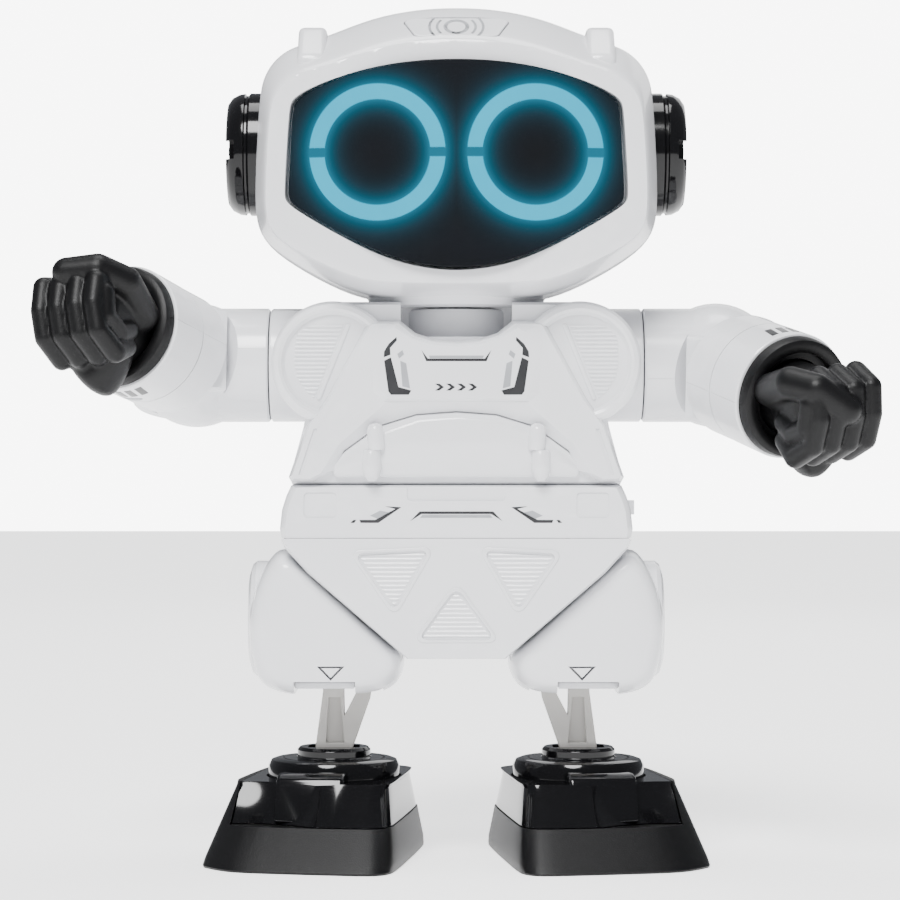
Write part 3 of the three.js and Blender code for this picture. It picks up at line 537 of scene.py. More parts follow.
eye_glow = plastic("eye_glow", (0.0, 0.1, 0.16, 1), (0.0, 0.12, 0.18, 1), 0.5, specular=0.2,
                   grain=0.3, bump=0.05, scratch=0.1, rub_and_highlight=0.05)
tree = eye_glow.node_tree
shader = tree.nodes["Principled BSDF"]
cloud = add(tree, "TexNoise", {"Vector": add(tree, "TexCoord").outputs["Object"], "Scale": 300.0})
tree.links.new(mix_colour(tree, cloud.outputs[0], (0.0, 0.46, 0.7, 1), (0.004, 0.5, 0.74, 1)),
               shader.inputs["Emission Color"])
shader.inputs["Emission Strength"].default_value = 1.0
print("eyes read from the light guides")

# %% [markdown]
# Every CAD node that stays in view, such as a screw, a gear or a cell, gets the finish of its
# slot. The mesh itself isn't touched.

# %% Finish the CAD nodes
FINISH = {"white": white_plastic, "gloss_black": glossy_black, "matte_black": dull_black,
          "smoke": visor_smoke, "cyan": eye_glow, "warm_grey": leg_grey, "steel": steel,
          "green": board_green, "nylon": nylon, "grey_tray": tray_grey, "cell_wrap": cell_wrap}
for part in record["subparts"]:
    node = frame["nodes"][part["node"]]
    node.data.materials.clear()
    node.data.materials.append(FINISH[part["material_slot"]])
frame["nodes"]["power_switch"].data.materials[0] = satin_white
print("finished", len(record["subparts"]), "CAD nodes")

# %% [markdown]
# ## The head
# The head is two white shells that meet a little behind the ears. The front one has a broad rim
# that slopes back from the visor. A box with bevels would look cut from board, so the outline is
# pushed through several stations of different size and then relaxed by subdivision, with creases
# where the real shell keeps an edge.

# %% A shape pushed through stations
def stacked(axis, outline, stations, centre=(0.0, 0.0)):
    """Each station is (distance, share of the outline's full size, crease). The share may be a
    pair, for across and up."""
    stations = [(along, share if isinstance(share, tuple) else (share, share), amount)
                for along, share, amount in stations]
    first, share, _ = stations[0]
    shape = bmesh.new()
    ring = [on_plane(axis, centre[0] + (a - centre[0]) * share[0],
                     centre[1] + (b - centre[1]) * share[1], first) for a, b in outline]
    cap = shape.faces.new([shape.verts.new(corner) for corner in ring])
    middle = on_plane(axis, centre[0], centre[1], 0)
    for number, (along, new_share, _) in enumerate(stations[1:]):
        grown = bmesh.ops.extrude_face_region(shape, geom=[cap], use_keep_orig=True)
        if number:
            bmesh.ops.delete(shape, geom=[cap], context="FACES_ONLY")
        cap = [item for item in grown["geom"] if isinstance(item, bmesh.types.BMFace)][0]
        moved = [item for item in grown["geom"] if isinstance(item, bmesh.types.BMVert)]
        bmesh.ops.translate(shape, verts=moved, vec=AXES[axis] * (along - first))
        ratio = on_plane(axis, new_share[0] / share[0], new_share[1] / share[1], 1)
        bmesh.ops.scale(shape, verts=moved, vec=ratio, space=Matrix.Translation(-middle))
        first, share = along, new_share
    for along, _, amount in stations:
        creased(shape, lambda e: all(abs(v.co.dot(AXES[axis]) - along) < 0.01 for v in e.verts), amount)
    bmesh.ops.recalc_face_normals(shape, faces=shape.faces)
    return shape


def half_of(shape, axis, at, keep_high):
    """Cuts a closed shape in two by a plane, keeps one side and closes the cut."""
    side = AXES[axis] * (1 if keep_high else -1)
    everything = shape.verts[:] + shape.edges[:] + shape.faces[:]
    cut_line = bmesh.ops.bisect_plane(shape, geom=everything, plane_co=AXES[axis] * at,
                                      plane_no=side, clear_inner=True, dist=1e-4)
    rim = [item for item in cut_line["geom_cut"] if isinstance(item, bmesh.types.BMEdge)]
    bmesh.ops.holes_fill(shape, edges=rim, sides=0)
    return shape


# %% [markdown]
# The head's outline is drawn once for the right half, from the chin to the crown.

# %% Head outline, visor outline and the two shells
HEAD_EDGE = symmetric([(0, 134.5), (13, 134.5), (23, 135), (34, 140), (44.6, 146.6), (47.2, 151),
                       (48.0, 157), (47.4, 172), (46.7, 182.6), (46.0, 186.6), (43.8, 190.6),
                       (40.2, 193.6), (36.4, 194.9), (29.6, 197.2), (20, 201.2), (9, 203.3), (0, 203.6)])
VISOR_EDGE = symmetric([(0, 140.3), (7, 140.9), (14.2, 142.5), (22.4, 146.0), (31.2, 150.8),
                        (38.0, 155.0), (39.5, 156.6), (39.7, 158.6), (38.6, 177.4), (38.1, 179.3),
                        (36.6, 181.0), (31, 183.8), (20.5, 187.2), (10, 188.9), (0, 189.3)])
HEAD_MIDDLE = (0, 150.4)
VISOR_MIDDLE = (0, 168)
HEAD_SEAM = 2.0
SEAM_HALF = 0.12  # half the hair gap between two shells
EAR_HEIGHT = (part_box("ear_left")[0][2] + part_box("ear_left")[1][2]) / 2 / MM


def head_blank():
    stations = [(-33.2, (0.925, 0.812), 0.45), (-32.6, (0.94, 0.838), 0.0), (-21.0, (0.99, 0.982), 0.0),
                (-18.0, 1.0, 0.3), (-8, 1.004, 0), (2, 1.004, 0), (14, 0.99, 0), (20, 0.965, 0.2),
                (29, 0.87, 0.2), (32, 0.74, 0.3), (32.4, 0.5, 0)]
    return relaxed(stacked("y", HEAD_EDGE, stations, HEAD_MIDDLE), 2)


def crest(side):
    outline = [(-29.6, 184), (-29.6, 190.6), (-21, 198.5), (14, 198.5), (16, 184)]
    ridge = rounded(slab("x", outline, 30.6, 37.3), 1.5, 4)
    return mirrored(ridge, side)


shell = join(head_blank(), crest(1), crest(-1))
opening = relaxed(stacked("y", VISOR_EDGE, [(-40, 1.02, 1), (-26, 1.0, 1)], VISOR_MIDDLE), 2)
ear_seats = [rod("x", 15.2, 46.3 * side if side > 0 else -60, 60 if side > 0 else -46.3,
                 (0, HEAD_SEAM, EAR_HEIGHT)) for _, side in SIDES]
BUTTON_LOW, BUTTON_HIGH = (Vector(corner) - Vector((0, NECK.y, 0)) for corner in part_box("touch_button"))
BUTTON_MIDDLE = (BUTTON_LOW + BUTTON_HIGH) / 2 / MM
BUTTON_SLOPE = -math.degrees(math.acos(abs(JOINTS["button_press"]["axis"][2])))
BUTTON_EDGE = [(-12.4, 3.2), (-9.6, -4.4), (9.6, -4.4), (12.4, 3.2), (10.6, 4.5), (-10.6, 4.5)]


def button_slab(margin, low, high):
    edge = [(x + math.copysign(margin, x), y + math.copysign(margin, y)) for x, y in BUTTON_EDGE]
    pad = rounded(slab("z", edge, low, high), 1.0, 4, along_axis("z"))
    turn(pad, "x", -BUTTON_SLOPE)
    return shift(pad, *BUTTON_MIDDLE)


shell = cut(shell, opening, *ear_seats, button_slab(0.3, -3.2, 12))
front = half_of(copied(shell), "y", HEAD_SEAM - SEAM_HALF, False)
rear = half_of(shell, "y", HEAD_SEAM + SEAM_HALF, True)
finish_piece("head_shell_front", front, "head", white_plastic, ["head_front_shell"], edge=0.35)
finish_piece("head_shell_rear", rear, "head", white_plastic, ["head_rear_shell"], edge=0.35)
finish_piece("touch_pad", button_slab(0, -1.4, 1.1), "button", white_plastic, ["touch_button"], edge=0.4)

# %% [markdown]
# The visor is a plate bowed about an upright line, so its reflections run as tall soft bands. Its
# front is the outline cut from a drum of large radius.

# %% Visor and the lit rings
VISOR_FRONT = (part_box("visor")[0][1] - NECK.y) / MM
BOW = 192.0


def bowed(radius, low, high):
    return rod("z", radius, low, high, (0, VISOR_FRONT + BOW, 0), steps=360)


plate = relaxed(stacked("y", VISOR_EDGE, [(-40, 0.988, 1), (-27, 0.988, 1)], VISOR_MIDDLE), 2)
plate = common(plate, bowed(BOW, 120, 210))


EYE_INNER, EYE_OUTER, EYE_SPLIT = 12.35, 15.85, 1.15


def eye_arcs(margin, middle, low, high):
    """Two half rings with a gap between them, as slabs."""
    inner, outer, split = EYE_INNER - margin, EYE_OUTER + margin, EYE_SPLIT - margin
    ring = turned("y", [(inner, low), (outer, low), (outer, high), (inner, high), (inner, low)], 96, middle)
    gap = block(middle[0] - 20, middle[0] + 20, low - 1, high + 1, middle[2] - split, middle[2] + split)
    return cut(ring, gap)


sockets = []
for side_name, side in SIDES:
    middle, _ = eye_box(side_name)
    centre = (middle.x / MM, 0, middle.z / MM)
    sockets.append(eye_arcs(0.12, centre, -45, VISOR_FRONT + 4.6))
    arcs = common(eye_arcs(0.0, centre, -45, -27.2), bowed(BOW - 0.12, 120, 210))
    finish_piece("eye_ring_" + side_name, arcs, "head", eye_glow, ["eye_light_guide_" + side_name],
                 edge=0.15, segments=2)
plate = cut(plate, *sockets)
finish_piece("visor_plate", plate, "head", visor_smoke, ["visor"], edge=0.3)

# %% [markdown]
# Each ear is a stack of discs with a domed rim, and a slot runs level across its face.

# %% Ears and neck collar
for side_name, side in SIDES:
    profile = [(0, 46.6), (14.9, 46.6), (14.9, 49.9), (14.3, 50.4), (14.3, 50.9), (14.8, 51.2),
               (14.6, 52.6), (13.7, 54.3), (12.3, 55.3), (11.5, 55.4), (10.9, 55.0), (10.5, 54.1),
               (10.1, 53.9), (9.6, 54.3), (9.0, 54.8), (0, 55.3)]
    ear = turned("x", profile, 96)
    slot = gathered(block(53.3, 60, -20, -8.6, -2.2, 2.2), block(53.3, 60, 8.6, 20, -2.2, 2.2))
    ear = cut(ear, slot)
    for number in range(3):
        step = 120 * number + 90
        lug = rounded(block(54.0, 55.0, -1.1, 1.1, 4.6, 7.4), 0.3, 2)
        ear = gathered(ear, turn(lug, "x", step))
    shift(ear, 0, HEAD_SEAM, EAR_HEIGHT)
    finish_piece("ear_disc_" + side_name, mirrored(ear, side), "head", glossy_black,
                 ["ear_" + side_name], edge=0.25)

collar = turned("z", [(0, 132.65), (19.6, 132.65), (20.5, 133.0), (21.9, 135.6), (22.1, 137.0),
                      (22.1, 143.0), (0, 143.0)], 96)
collar = half_of(collar, "y", 20, False)
finish_piece("neck_skirt", collar, "head", white_plastic, ["neck_collar"], edge=0.3)

# %% [markdown]
# The touch pad carries a printed sign for sound: a ring with waves to both sides. Ink has almost
# no thickness, so it is a skin a twentieth of a millimetre proud of the pad.

# %% The printed sound sign
def ink_arc(inner, outer, start, end, steps=24):
    """A flat piece of ring lying in the pad's own plane, as a thin slab."""
    strip = bmesh.new()
    dots = [strip.verts.new((math.cos(math.radians(start)) * r, math.sin(math.radians(start)) * r, 1.1))
            for r in (inner, outer)]
    line = strip.edges.new(dots)
    bmesh.ops.spin(strip, geom=dots + [line], cent=(0, 0, 0), axis=(0, 0, 1),
                   angle=math.radians(end - start), steps=steps, use_merge=end - start >= 360)
    bmesh.ops.remove_doubles(strip, verts=strip.verts, dist=1e-4)
    bmesh.ops.solidify(strip, geom=strip.faces[:], thickness=0.05)
    return strip


sign = gathered(ink_arc(2.0, 2.9, 0, 360, 32), *[ink_arc(r, r + 0.6, start - 38, start + 38)
                                                for r in (4.0, 5.7) for start in (0, 180)])
bmesh.ops.scale(sign, verts=sign.verts, vec=(1.05, 1.25, 1))
turn(sign, "x", -BUTTON_SLOPE)
shift(sign, *BUTTON_MIDDLE)
finish_piece("sound_sign", sign, "button", grey_ink)

# %% [markdown]
# ## The torso
# The torso is a tapered box with a round boss at each shoulder. Over its front lies a chest plate
# whose wings reach down past the belly panel. Plates like these change outline between their back
# and their front, so two or more outlines with the same number of corners are bridged.

# %% A shape bridged between outlines
def bridged(axis, levels):
    """levels: (distance, outline) pairs; all outlines have the same number of corners."""
    shape = bmesh.new()
    loops = []
    for along, outline in levels:
        dots = [shape.verts.new(on_plane(axis, a, b, along)) for a, b in outline]
        loops.append([shape.edges.new((dots[i - 1], dots[i])) for i in range(len(dots))])
    for lower, upper in zip(loops, loops[1:]):
        bmesh.ops.bridge_loops(shape, edges=lower + upper)
    bmesh.ops.holes_fill(shape, edges=loops[0] + loops[-1], sides=0)
    bmesh.ops.recalc_face_normals(shape, faces=shape.faces)
    return shape


def ribs(outline, face_y, low, high, pitch, width, height=0.35):
    """Level ribs on a face that looks forward, kept only inside an outline."""
    reach = max(abs(a) for a, _ in outline) + 5
    bars = []
    level = low
    while level < high:
        section = [(face_y + 0.5, level - width / 2), (face_y - height * 0.6, level - width / 2),
                   (face_y - height, level), (face_y - height * 0.6, level + width / 2),
                   (face_y + 0.5, level + width / 2)]
        bars.append(slab("x", section, -reach, reach))
        level += pitch
    return common(gathered(*bars), slab("y", outline, face_y - 2, face_y + 2))


def moved(outline, side=1, x=0.0, z=0.0):
    return [(side * (a + x), b + z) for a, b in outline]


def pocket(outline, face_y, depth, corner=1.5):
    """The tool for a shallow recess with rounded corners and leaning walls."""
    middle = (sum(a for a, _ in outline) / len(outline), sum(b for _, b in outline) / len(outline))
    tool = stacked("y", outline, [(face_y - 3, 1.06, 0), (face_y + depth, 1.0, 0)], middle)
    return rounded(tool, corner, 5, along_axis("y"))


# %% Torso shells
TORSO_EDGE = symmetric([(0, 90.1), (38.8, 90.1), (39.5, 91.8), (36.2, 104), (31.8, 128.4),
                        (30.4, 132.2), (28.2, 133.5), (0, 133.5)])
SHOULDER_X, SHOULDER_Z = 29.2, pivot("shoulder_turn_left").z / MM
BACK = 26.0
stations = [(-20.9, 0.965, 0), (-19.2, 1.0, 0), (18, 1.0, 0), (23.5, 0.96, 0), (BACK, 0.88, 0)]
torso = stacked("y", TORSO_EDGE, stations, (0, 112))
bosses = []
for _, side in SIDES:
    profile = [(0, -21.9), (11.3, -21.9), (11.7, -22.2), (12.1, -23.2), (12.8, -23.6), (13.8, -23.3),
               (14.5, -22.3), (14.6, -20.8), (14.6, 14), (12.5, 16.5), (0, 16.5)]
    bosses.append(turned("y", profile, 96, (SHOULDER_X * side, 0, SHOULDER_Z)))
    bosses.append(rod("x", 13.75, 20 if side > 0 else -44.8, 44.8 if side > 0 else -20,
                      (0, 0, SHOULDER_Z), 96, 0.4))
torso = join(torso, *bosses)
door_low, door_high = (Vector(corner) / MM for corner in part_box("battery_door"))
box_low, box_high = (Vector(corner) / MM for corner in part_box("battery_box"))
door_hole = block(door_low.x - 0.3, door_high.x + 0.3, BACK - 2.2, 40, door_low.z - 0.3, door_high.z + 0.3)
bay = block(box_low.x - 0.2, box_high.x + 0.2, 6, 40, box_low.z - 0.2, box_high.z + 0.2)
bay = common(bay, block(door_low.x + 0.6, door_high.x - 0.6, 6, 40, 95, door_high.z - 0.4))
neckline = block(-13.2, 13.2, -40, -6, 125.2, 140)
screw_wells = [rod("y", 2.9, BACK - 6, 60, (31.5 * side, 0, 97), 40) for _, side in SIDES]
torso = cut(torso, door_hole, bay, neckline, *screw_wells)
front = half_of(copied(torso), "y", -SEAM_HALF, False)
rear = half_of(torso, "y", SEAM_HALF, True)

D_PANEL = [(-8.9, 4.2), (-8.6, 6.4), (-6.2, 8.6), (-2.6, 9.2), (2.6, 9.4), (-4.4, -8.2), (-6.4, -6.6),
           (-8.4, -3.4), (-9.1, 0)]
GRIP_SLOT = [(3.1, 9.3), (4.3, 9.1), (-2.9, -8.9), (-4.0, -8.7)]
details = []
for _, side in SIDES:
    panel = moved([(-a, b) for a, b in D_PANEL], side, SHOULDER_X, SHOULDER_Z)
    details.append(ribs(panel, -21.9, SHOULDER_Z - 9, SHOULDER_Z + 9.4, 0.98, 0.5))
    slot = moved([(-a, b) for a, b in GRIP_SLOT], side, SHOULDER_X, SHOULDER_Z)
    details.append(rounded(slab("y", slot, -22.5, -21), 0.5, 3))
front = gathered(front, *details)
finish_piece("torso_shell_front", front, "torso", white_plastic, ["torso_front_shell"], edge=0.35)
finish_piece("torso_shell_rear", rear, "torso", white_plastic, ["torso_rear_shell"], edge=0.35)

# %% [markdown]
# The chest plate has a raised middle with sloping sides, and its lower edge is chamfered back to
# the belly. The belly panel bulges out under it like a little pot, held by two pegs on each side.

# %% Chest plate and belly
WING_BACK = symmetric([(0, 107.6), (9.5, 106.9), (18.4, 104.2), (26.6, 98.2), (28.2, 93.6), (33.8, 90.9),
                       (39.0, 90.9), (39.6, 92.0), (35.3, 104.2), (31.0, 110.2), (21.2, 128.2),
                       (20.2, 128.8), (13.2, 128.9), (9.6, 126.0), (5.2, 124.6), (0, 124.1)])
WING_FRONT = symmetric([(0, 109.8), (9.5, 109.8), (16.8, 109.4), (27.6, 99.8), (32.0, 92.9), (34.6, 91.6),
                        (38.2, 91.7), (38.7, 92.4), (34.5, 104.0), (30.1, 110.0), (20.4, 127.4),
                        (19.8, 128.0), (13.6, 128.1), (10.0, 125.3), (5.4, 123.9), (0, 123.4)])
wings = bridged("y", [(-20.7, WING_BACK), (-21.9, WING_BACK), (-24.0, WING_FRONT)])
MIDDLE_BACK = symmetric([(0, 109.9), (17.2, 109.9), (19.6, 112.0), (20.0, 123.5), (18.6, 127.4),
                         (14.2, 127.9), (10.2, 125.1), (5.6, 123.8), (0, 123.3)])
MIDDLE_FRONT = symmetric([(0, 110.5), (16.2, 110.5), (17.0, 111.8), (17.2, 123.4), (16.2, 126.3),
                          (14.4, 127.2), (10.5, 124.6), (5.8, 123.2), (0, 122.7)])
CHEST_FACE = -25.0
middle = bridged("y", [(-23.5, MIDDLE_BACK), (-24.0, MIDDLE_BACK), (CHEST_FACE, MIDDLE_FRONT)])
chest = join(wings, middle)
channel = [(36.3, 92.8), (37.2, 92.6), (33.6, 103.4), (32.8, 103.4)]
chest = cut(chest, *[pocket(moved(channel, side), -24.0, 0.35, 0.2) for _, side in SIDES])
finish_piece("chest_cover", chest, "torso", white_plastic, ["chest_plate"], edge=0.5)

BELLY_BACK = symmetric([(0, 92.0), (28.9, 92.0), (29.2, 94.4), (26.4, 98.0), (18.2, 103.9), (9.4, 106.6),
                        (0, 107.3)])
BELLY_FRONT = symmetric([(0, 95.6), (24.6, 95.4), (25.0, 96.2), (22.6, 98.4), (16.6, 102.6), (8.8, 105.4),
                         (0, 106.1)])
belly = bridged("y", [(-20.7, BELLY_BACK), (-22.6, BELLY_BACK), (-24.4, BELLY_FRONT)])
belly = rounded(belly, 0.8, 4)
pegs = []
for _, side in SIDES:
    upper = turned("z", [(0, 98.6), (1.9, 98.6), (2.0, 99.2), (2.0, 103.2), (1.7, 104.3), (0.9, 104.9),
                         (0, 105)], 40)
    lower = turned("z", [(0, 90.9), (1.0, 91.1), (1.9, 92.2), (2.25, 94), (2.15, 98), (1.8, 98.4),
                         (0, 98.4)], 40)
    turn(upper, "y", 4)
    pegs.append(mirrored(shift(upper, 11.9, -24.4, 0), side))
    pegs.append(mirrored(shift(lower, 19.9, -24.3, 0), side))
belly = gathered(belly, *pegs)
finish_piece("belly_panel", belly, "torso", white_plastic, ["belly_plate"])

post = turned("z", [(0, 124), (12.9, 124), (12.9, 131.4), (12.5, 132.2), (6, 132.3), (6, 138.8),
                    (9, 138.8), (9, 140.5), (0, 140.5)], 96)
post = cut(post, block(-20, 20, 9.9, 20, 120, 134))
finish_piece("neck_ring", post, "torso", white_plastic, ["neck_post"], edge=0.35)

# %% [markdown]
# Printed marks on the chest and the waist are flat slivers of ink. They are cut from thin slabs
# that hug the plate, a twentieth of a millimetre proud.

# %% Printed marks
def ink(name, outlines, face_y, body, material):
    marks = gathered(*[slab("y", outline, face_y - 0.06, face_y + 0.3) for outline in outlines])
    return finish_piece(name, marks, body, material)


def both_sides(outlines):
    """The outlines of one side, followed by their mirror images."""
    return outlines + [[(-a, b) for a, b in reversed(outline)] for outline in outlines]


HOOK = [(14.1, 125.0), (14.0, 124.2), (15.6, 122.4), (15.5, 120.8), (17.1, 120.2), (17.0, 121.6),
        (15.9, 123.4)]
BRACKET = [(17.0, 119.4), (15.4, 120.2), (13.6, 113.2), (10.6, 112.4), (11.2, 111.4), (15.4, 111.4),
           (16.0, 112.2)]
CHEST_BAR = [(-8.2, 121.9), (-7.1, 119.3), (7.1, 119.3), (8.2, 121.9), (6.7, 119.9), (-6.7, 119.9)]
BARS = [[(12.7, 121.9), (13.9, 121.0), (13.5, 119.9), (12.3, 120.9)],
        [(13.2, 119.4), (11.8, 118.8), (10.9, 112.9), (12.7, 113.4)]]
CHEST_GREY = [[(-6.5, 120.6), (-6.2, 120.0), (6.2, 120.0), (6.5, 120.6)]]
CHEVRONS = [[(-5.0 + step, 112.4), (-4.0 + step, 112.4), (-2.9 + step, 113.2), (-4.0 + step, 114.0),
             (-5.0 + step, 114.0), (-3.9 + step, 113.2)] for step in (0, 2.6, 5.2, 7.8)]
ink("chest_print_black", both_sides([HOOK, BRACKET]) + [CHEST_BAR] + CHEVRONS, CHEST_FACE, "torso", black_ink)
ink("chest_print_grey", both_sides(BARS) + CHEST_GREY, CHEST_FACE, "torso", grey_ink)

# %% [markdown]
# ## The pelvis
# Below the waist the body narrows to a V. Three rounded triangles with fine ribs are sunk in its
# front, each with a soft raised lip, and the upper band carries shallow panels and print. The
# sunk shapes are cut first, and the ribs are then laid on their floors.

# %% Pelvis shells
PELVIS_EDGE = symmetric([(0, 48.9), (11.4, 48.9), (12.8, 49.6), (33.6, 67.9), (40.2, 74.4), (41.4, 76.4),
                         (41.9, 79.6), (41.4, 84.2), (40.4, 87.4), (39.2, 90.0), (38.2, 90.2),
                         (0, 90.2)])
FACE = -22.9
BAND_FACE = -22.6
V_EDGE = symmetric([(0, 49.0), (11.6, 49.0), (35.2, 69.3), (40.6, 75.2), (41.4, 77.2), (0, 77.3)])
band = stacked("y", PELVIS_EDGE, [(-22.6, 0.965, 0), (-20.8, 0.992, 0), (-18, 1, 0), (14, 1, 0),
                                  (19, 0.97, 0), (21, 0.9, 0)], (0, 72))
band = common(band, block(-60, 60, -40, 40, 77.6, 100))
wedge = bridged("y", [(21, V_EDGE), (-21.4, V_EDGE), (-22.9, [(a * 0.985, b + 0.3)
                                                                    for a, b in V_EDGE])])
slim = common(wedge, block(-60, 60, -40, 40, 40, 77.7))
body = join(band, slim)
LEFT_TRIANGLE = [(6.2, 74.8), (24.2, 74.0), (14.6, 60.2)]
LOW_TRIANGLE = [(-9.2, 53.6), (9.2, 53.6), (0, 66.2)]
SIDE_PANEL = [(28.4, 82.4), (36.0, 82.4), (36.0, 88.4), (28.4, 88.4)]
WAIST_PANEL = [(-11.6, 86.4), (11.6, 86.4), (11.6, 93), (-11.6, 93)]
triangles = both_sides([LEFT_TRIANGLE]) + [LOW_TRIANGLE]


def grown(outline, by):
    """The outline, larger by a share of its size about its own middle."""
    a0 = sum(a for a, _ in outline) / len(outline)
    b0 = sum(b for _, b in outline) / len(outline)
    return [(a0 + (a - a0) * by, b0 + (b - b0) * by) for a, b in outline]


lips = [rounded(rounded(slab("y", grown(triangle, 1.16), FACE - 0.35, FACE + 1), 3.2, 8, along_axis("y")),
                0.3, 3, lambda e: all(v.co.y < FACE for v in e.verts)) for triangle in triangles]
body = join(body, *lips)
sunk = [pocket(triangle, FACE, 0.45, 2.6) for triangle in triangles]
panels = [pocket(moved(SIDE_PANEL, side), BAND_FACE, 0.35, 1.0) for _, side in SIDES]
lever_slots = [block(side * 17 if side > 0 else -36, 36 if side > 0 else side * 17, -4, 12.4, 57, 68.6)
               for _, side in SIDES]
open_top = block(-30, 30, -14, 16, 80, 100)
hollow = block(-27, 27, -12, 14, 62, 95)
low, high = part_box("power_switch")
SWITCH_TRAVEL = 4.0
switch_slot = block(24, 50, (low[1] - NECK.y) / MM - 0.3, (high[1] - NECK.y) / MM + SWITCH_TRAVEL + 0.3,
                    low[2] / MM - 0.3, high[2] / MM + 0.3)
wells = [rod("y", 2.9, 15, 60, (25.5 * side, 0, 81), 40) for _, side in SIDES]
body = cut(body, *sunk, *panels, pocket(WAIST_PANEL, BAND_FACE, 0.5, 1.2), *lever_slots, open_top, hollow,
           switch_slot, *wells)
front = half_of(copied(body), "y", -SEAM_HALF, False)
rear = half_of(body, "y", SEAM_HALF, True)
laid = []
for triangle in triangles:
    heights = [b for _, b in triangle]
    laid.append(ribs(grown(triangle, 0.86), FACE + 0.45, min(heights) + 0.9, max(heights) - 0.6, 1.05,
                     0.55, 0.3))
front = gathered(front, *laid)
finish_piece("pelvis_shell_front", front, "torso", white_plastic, ["pelvis_front_shell"], edge=0.4)
finish_piece("pelvis_shell_rear", rear, "torso", white_plastic, ["pelvis_rear_shell"], edge=0.4)

WAIST_BAR = [(-10.9, 81.6), (-8.7, 83.9), (8.7, 83.9), (10.9, 81.6), (8.2, 83.3), (-8.2, 83.3)]
ZIG = [(13.0, 84.9), (16.8, 85.1), (14.4, 84.5), (19.2, 81.9), (22.9, 81.9), (22.6, 81.2), (18.4, 81.2)]
ZIG_DASH = [(23.6, 81.9), (24.3, 81.9), (25.0, 81.2), (24.1, 81.2)]
WAIST_GREY = [(-8.0, 83.1), (-8.6, 82.4), (8.6, 82.4), (8.0, 83.1)]
ZIG_GREY = [(15.6, 83.6), (18.6, 82.2), (20.4, 82.9), (18.0, 84.1)]
ink("waist_print_black", [WAIST_BAR] + both_sides([ZIG, ZIG_DASH]), BAND_FACE, "torso", black_ink)
ink("waist_print_grey", [WAIST_GREY] + both_sides([ZIG_GREY]), BAND_FACE, "torso", grey_ink)

# %% [markdown]
# ## Thighs and legs
# Each thigh is a plump shell that hides the top of its leg. Its outline is relaxed by subdivision,
# so the highlight slides over it, and a notch at the front lets the grey leg swing.

# %% Thigh shells
THIGH_EDGE = [(16.4, 40.4), (22, 39.4), (34, 39.3), (41.4, 39.6), (46.6, 41.6), (48.6, 45.4), (49.6, 51),
              (50.4, 57.2), (49.2, 63.4), (47.2, 68.6), (44.4, 73.2), (41.6, 75.4), (35.2, 69.2),
              (24.5, 59.6), (13.6, 49.9), (12.4, 48.4), (12.6, 45.4), (13.8, 42.6)]


def thigh_shell():
    stations = [(-19.9, 0.72, 0), (-19.2, 0.86, 0), (-15.8, 0.97, 0), (-8, 1.0, 0), (6, 1.0, 0),
                (14, 0.97, 0), (17.6, 0.86, 0), (18.2, 0.7, 0)]
    plump = relaxed(stacked("y", THIGH_EDGE, stations, (32, 56)), 2)
    lid = turned("x", [(0, 44), (14, 44), (14, 48.2), (13.2, 49.2), (11, 49.9), (0, 50.4)], 96,
                 (0, -1, 57.5))
    plump = join(plump, lid)
    notch = block(24, 38.6, -30, -6, 30, 43.4)
    foot_room = block(17.4, 38.8, -15.8, 11.2, 30, 50)
    lever_room = block(15.2, 40, -5.0, 13, 44, 69.2)
    groove = cut(rod("x", 15.9, 46.4, 60, (0, -1, 57.5), 96), rod("x", 15.5, 46, 61, (0, -1, 57.5), 96))
    mark = cut(slab("y", [(26.5, 47.1), (29.8, 43.7), (33.1, 47.1)], -30, -16.2),
               slab("y", [(27.6, 46.7), (29.8, 44.4), (32.0, 46.7)], -40, -10))
    return cut(plump, notch, foot_room, lever_room, groove, mark)


for side_name, side in SIDES:
    finish_piece("thigh_cover_" + side_name, mirrored(thigh_shell(), side), "torso", white_plastic,
                 ["thigh_shell_" + side_name, "thigh_cap_" + side_name], edge=0.35)
    sill = rounded(block(24.2, 38.4, -17.0, -13.4, 41.6, 43.1), 0.4, 3)
    finish_piece("thigh_sill_" + side_name, mirrored(sill, side), "torso", satin_white)

# %% [markdown]
# ## The arms
# Both arms are the same mouldings, bent at the elbow and turned at the shoulder: one hand hangs
# low and the other is raised. Each arm is drawn about its elbow, and a matrix then carries it to
# its own side and tilt, read from the elbow joint's place and axis.

# %% Where each arm sits
def arm_place(side_name, side):
    elbow = pivot("elbow_bend_" + side_name)
    axis = Vector(JOINTS["elbow_bend_" + side_name]["axis"]) * side
    tilt = math.atan2(-axis.y, axis.z)
    return Matrix.Translation(elbow) @ Matrix.Rotation(tilt, 4, "X") @ Matrix.Scale(MM, 4)


BEND = math.degrees(math.atan2(JOINTS["wrist_turn_left"]["axis"][0],
                               math.hypot(*JOINTS["wrist_turn_left"]["axis"][1:])))
ARM, FOREARM, BALL = 13.8, 14.8, 15.05
SHOULDER_END = (abs(pivot("shoulder_turn_left").x) - abs(pivot("elbow_bend_left").x)) / MM + 0.15
print("arm bend", round(BEND, 1), "shoulder end", round(SHOULDER_END, 2))


def ball(radius, centre=(0, 0, 0)):
    shape = bmesh.new()
    bmesh.ops.create_uvsphere(shape, u_segments=64, v_segments=32, radius=radius)
    return shift(shape, *centre)


def wedge_between(start, end, low, high):
    """A flat sector between two bearings, counted from straight ahead towards the outside."""
    outline = [(0, 0)]
    for step in range(9):
        bearing = math.radians(start + (end - start) * step / 8)
        outline.append((math.sin(bearing) * 40, -math.cos(bearing) * 40))
    return slab("z", outline, low, high)


# %% [markdown]
# The forearm's cup wraps the elbow ball, so the upper arm has a groove for the cup to slide in.
# A mould line runs along each white part of the arm, where the two halves of the mould met.

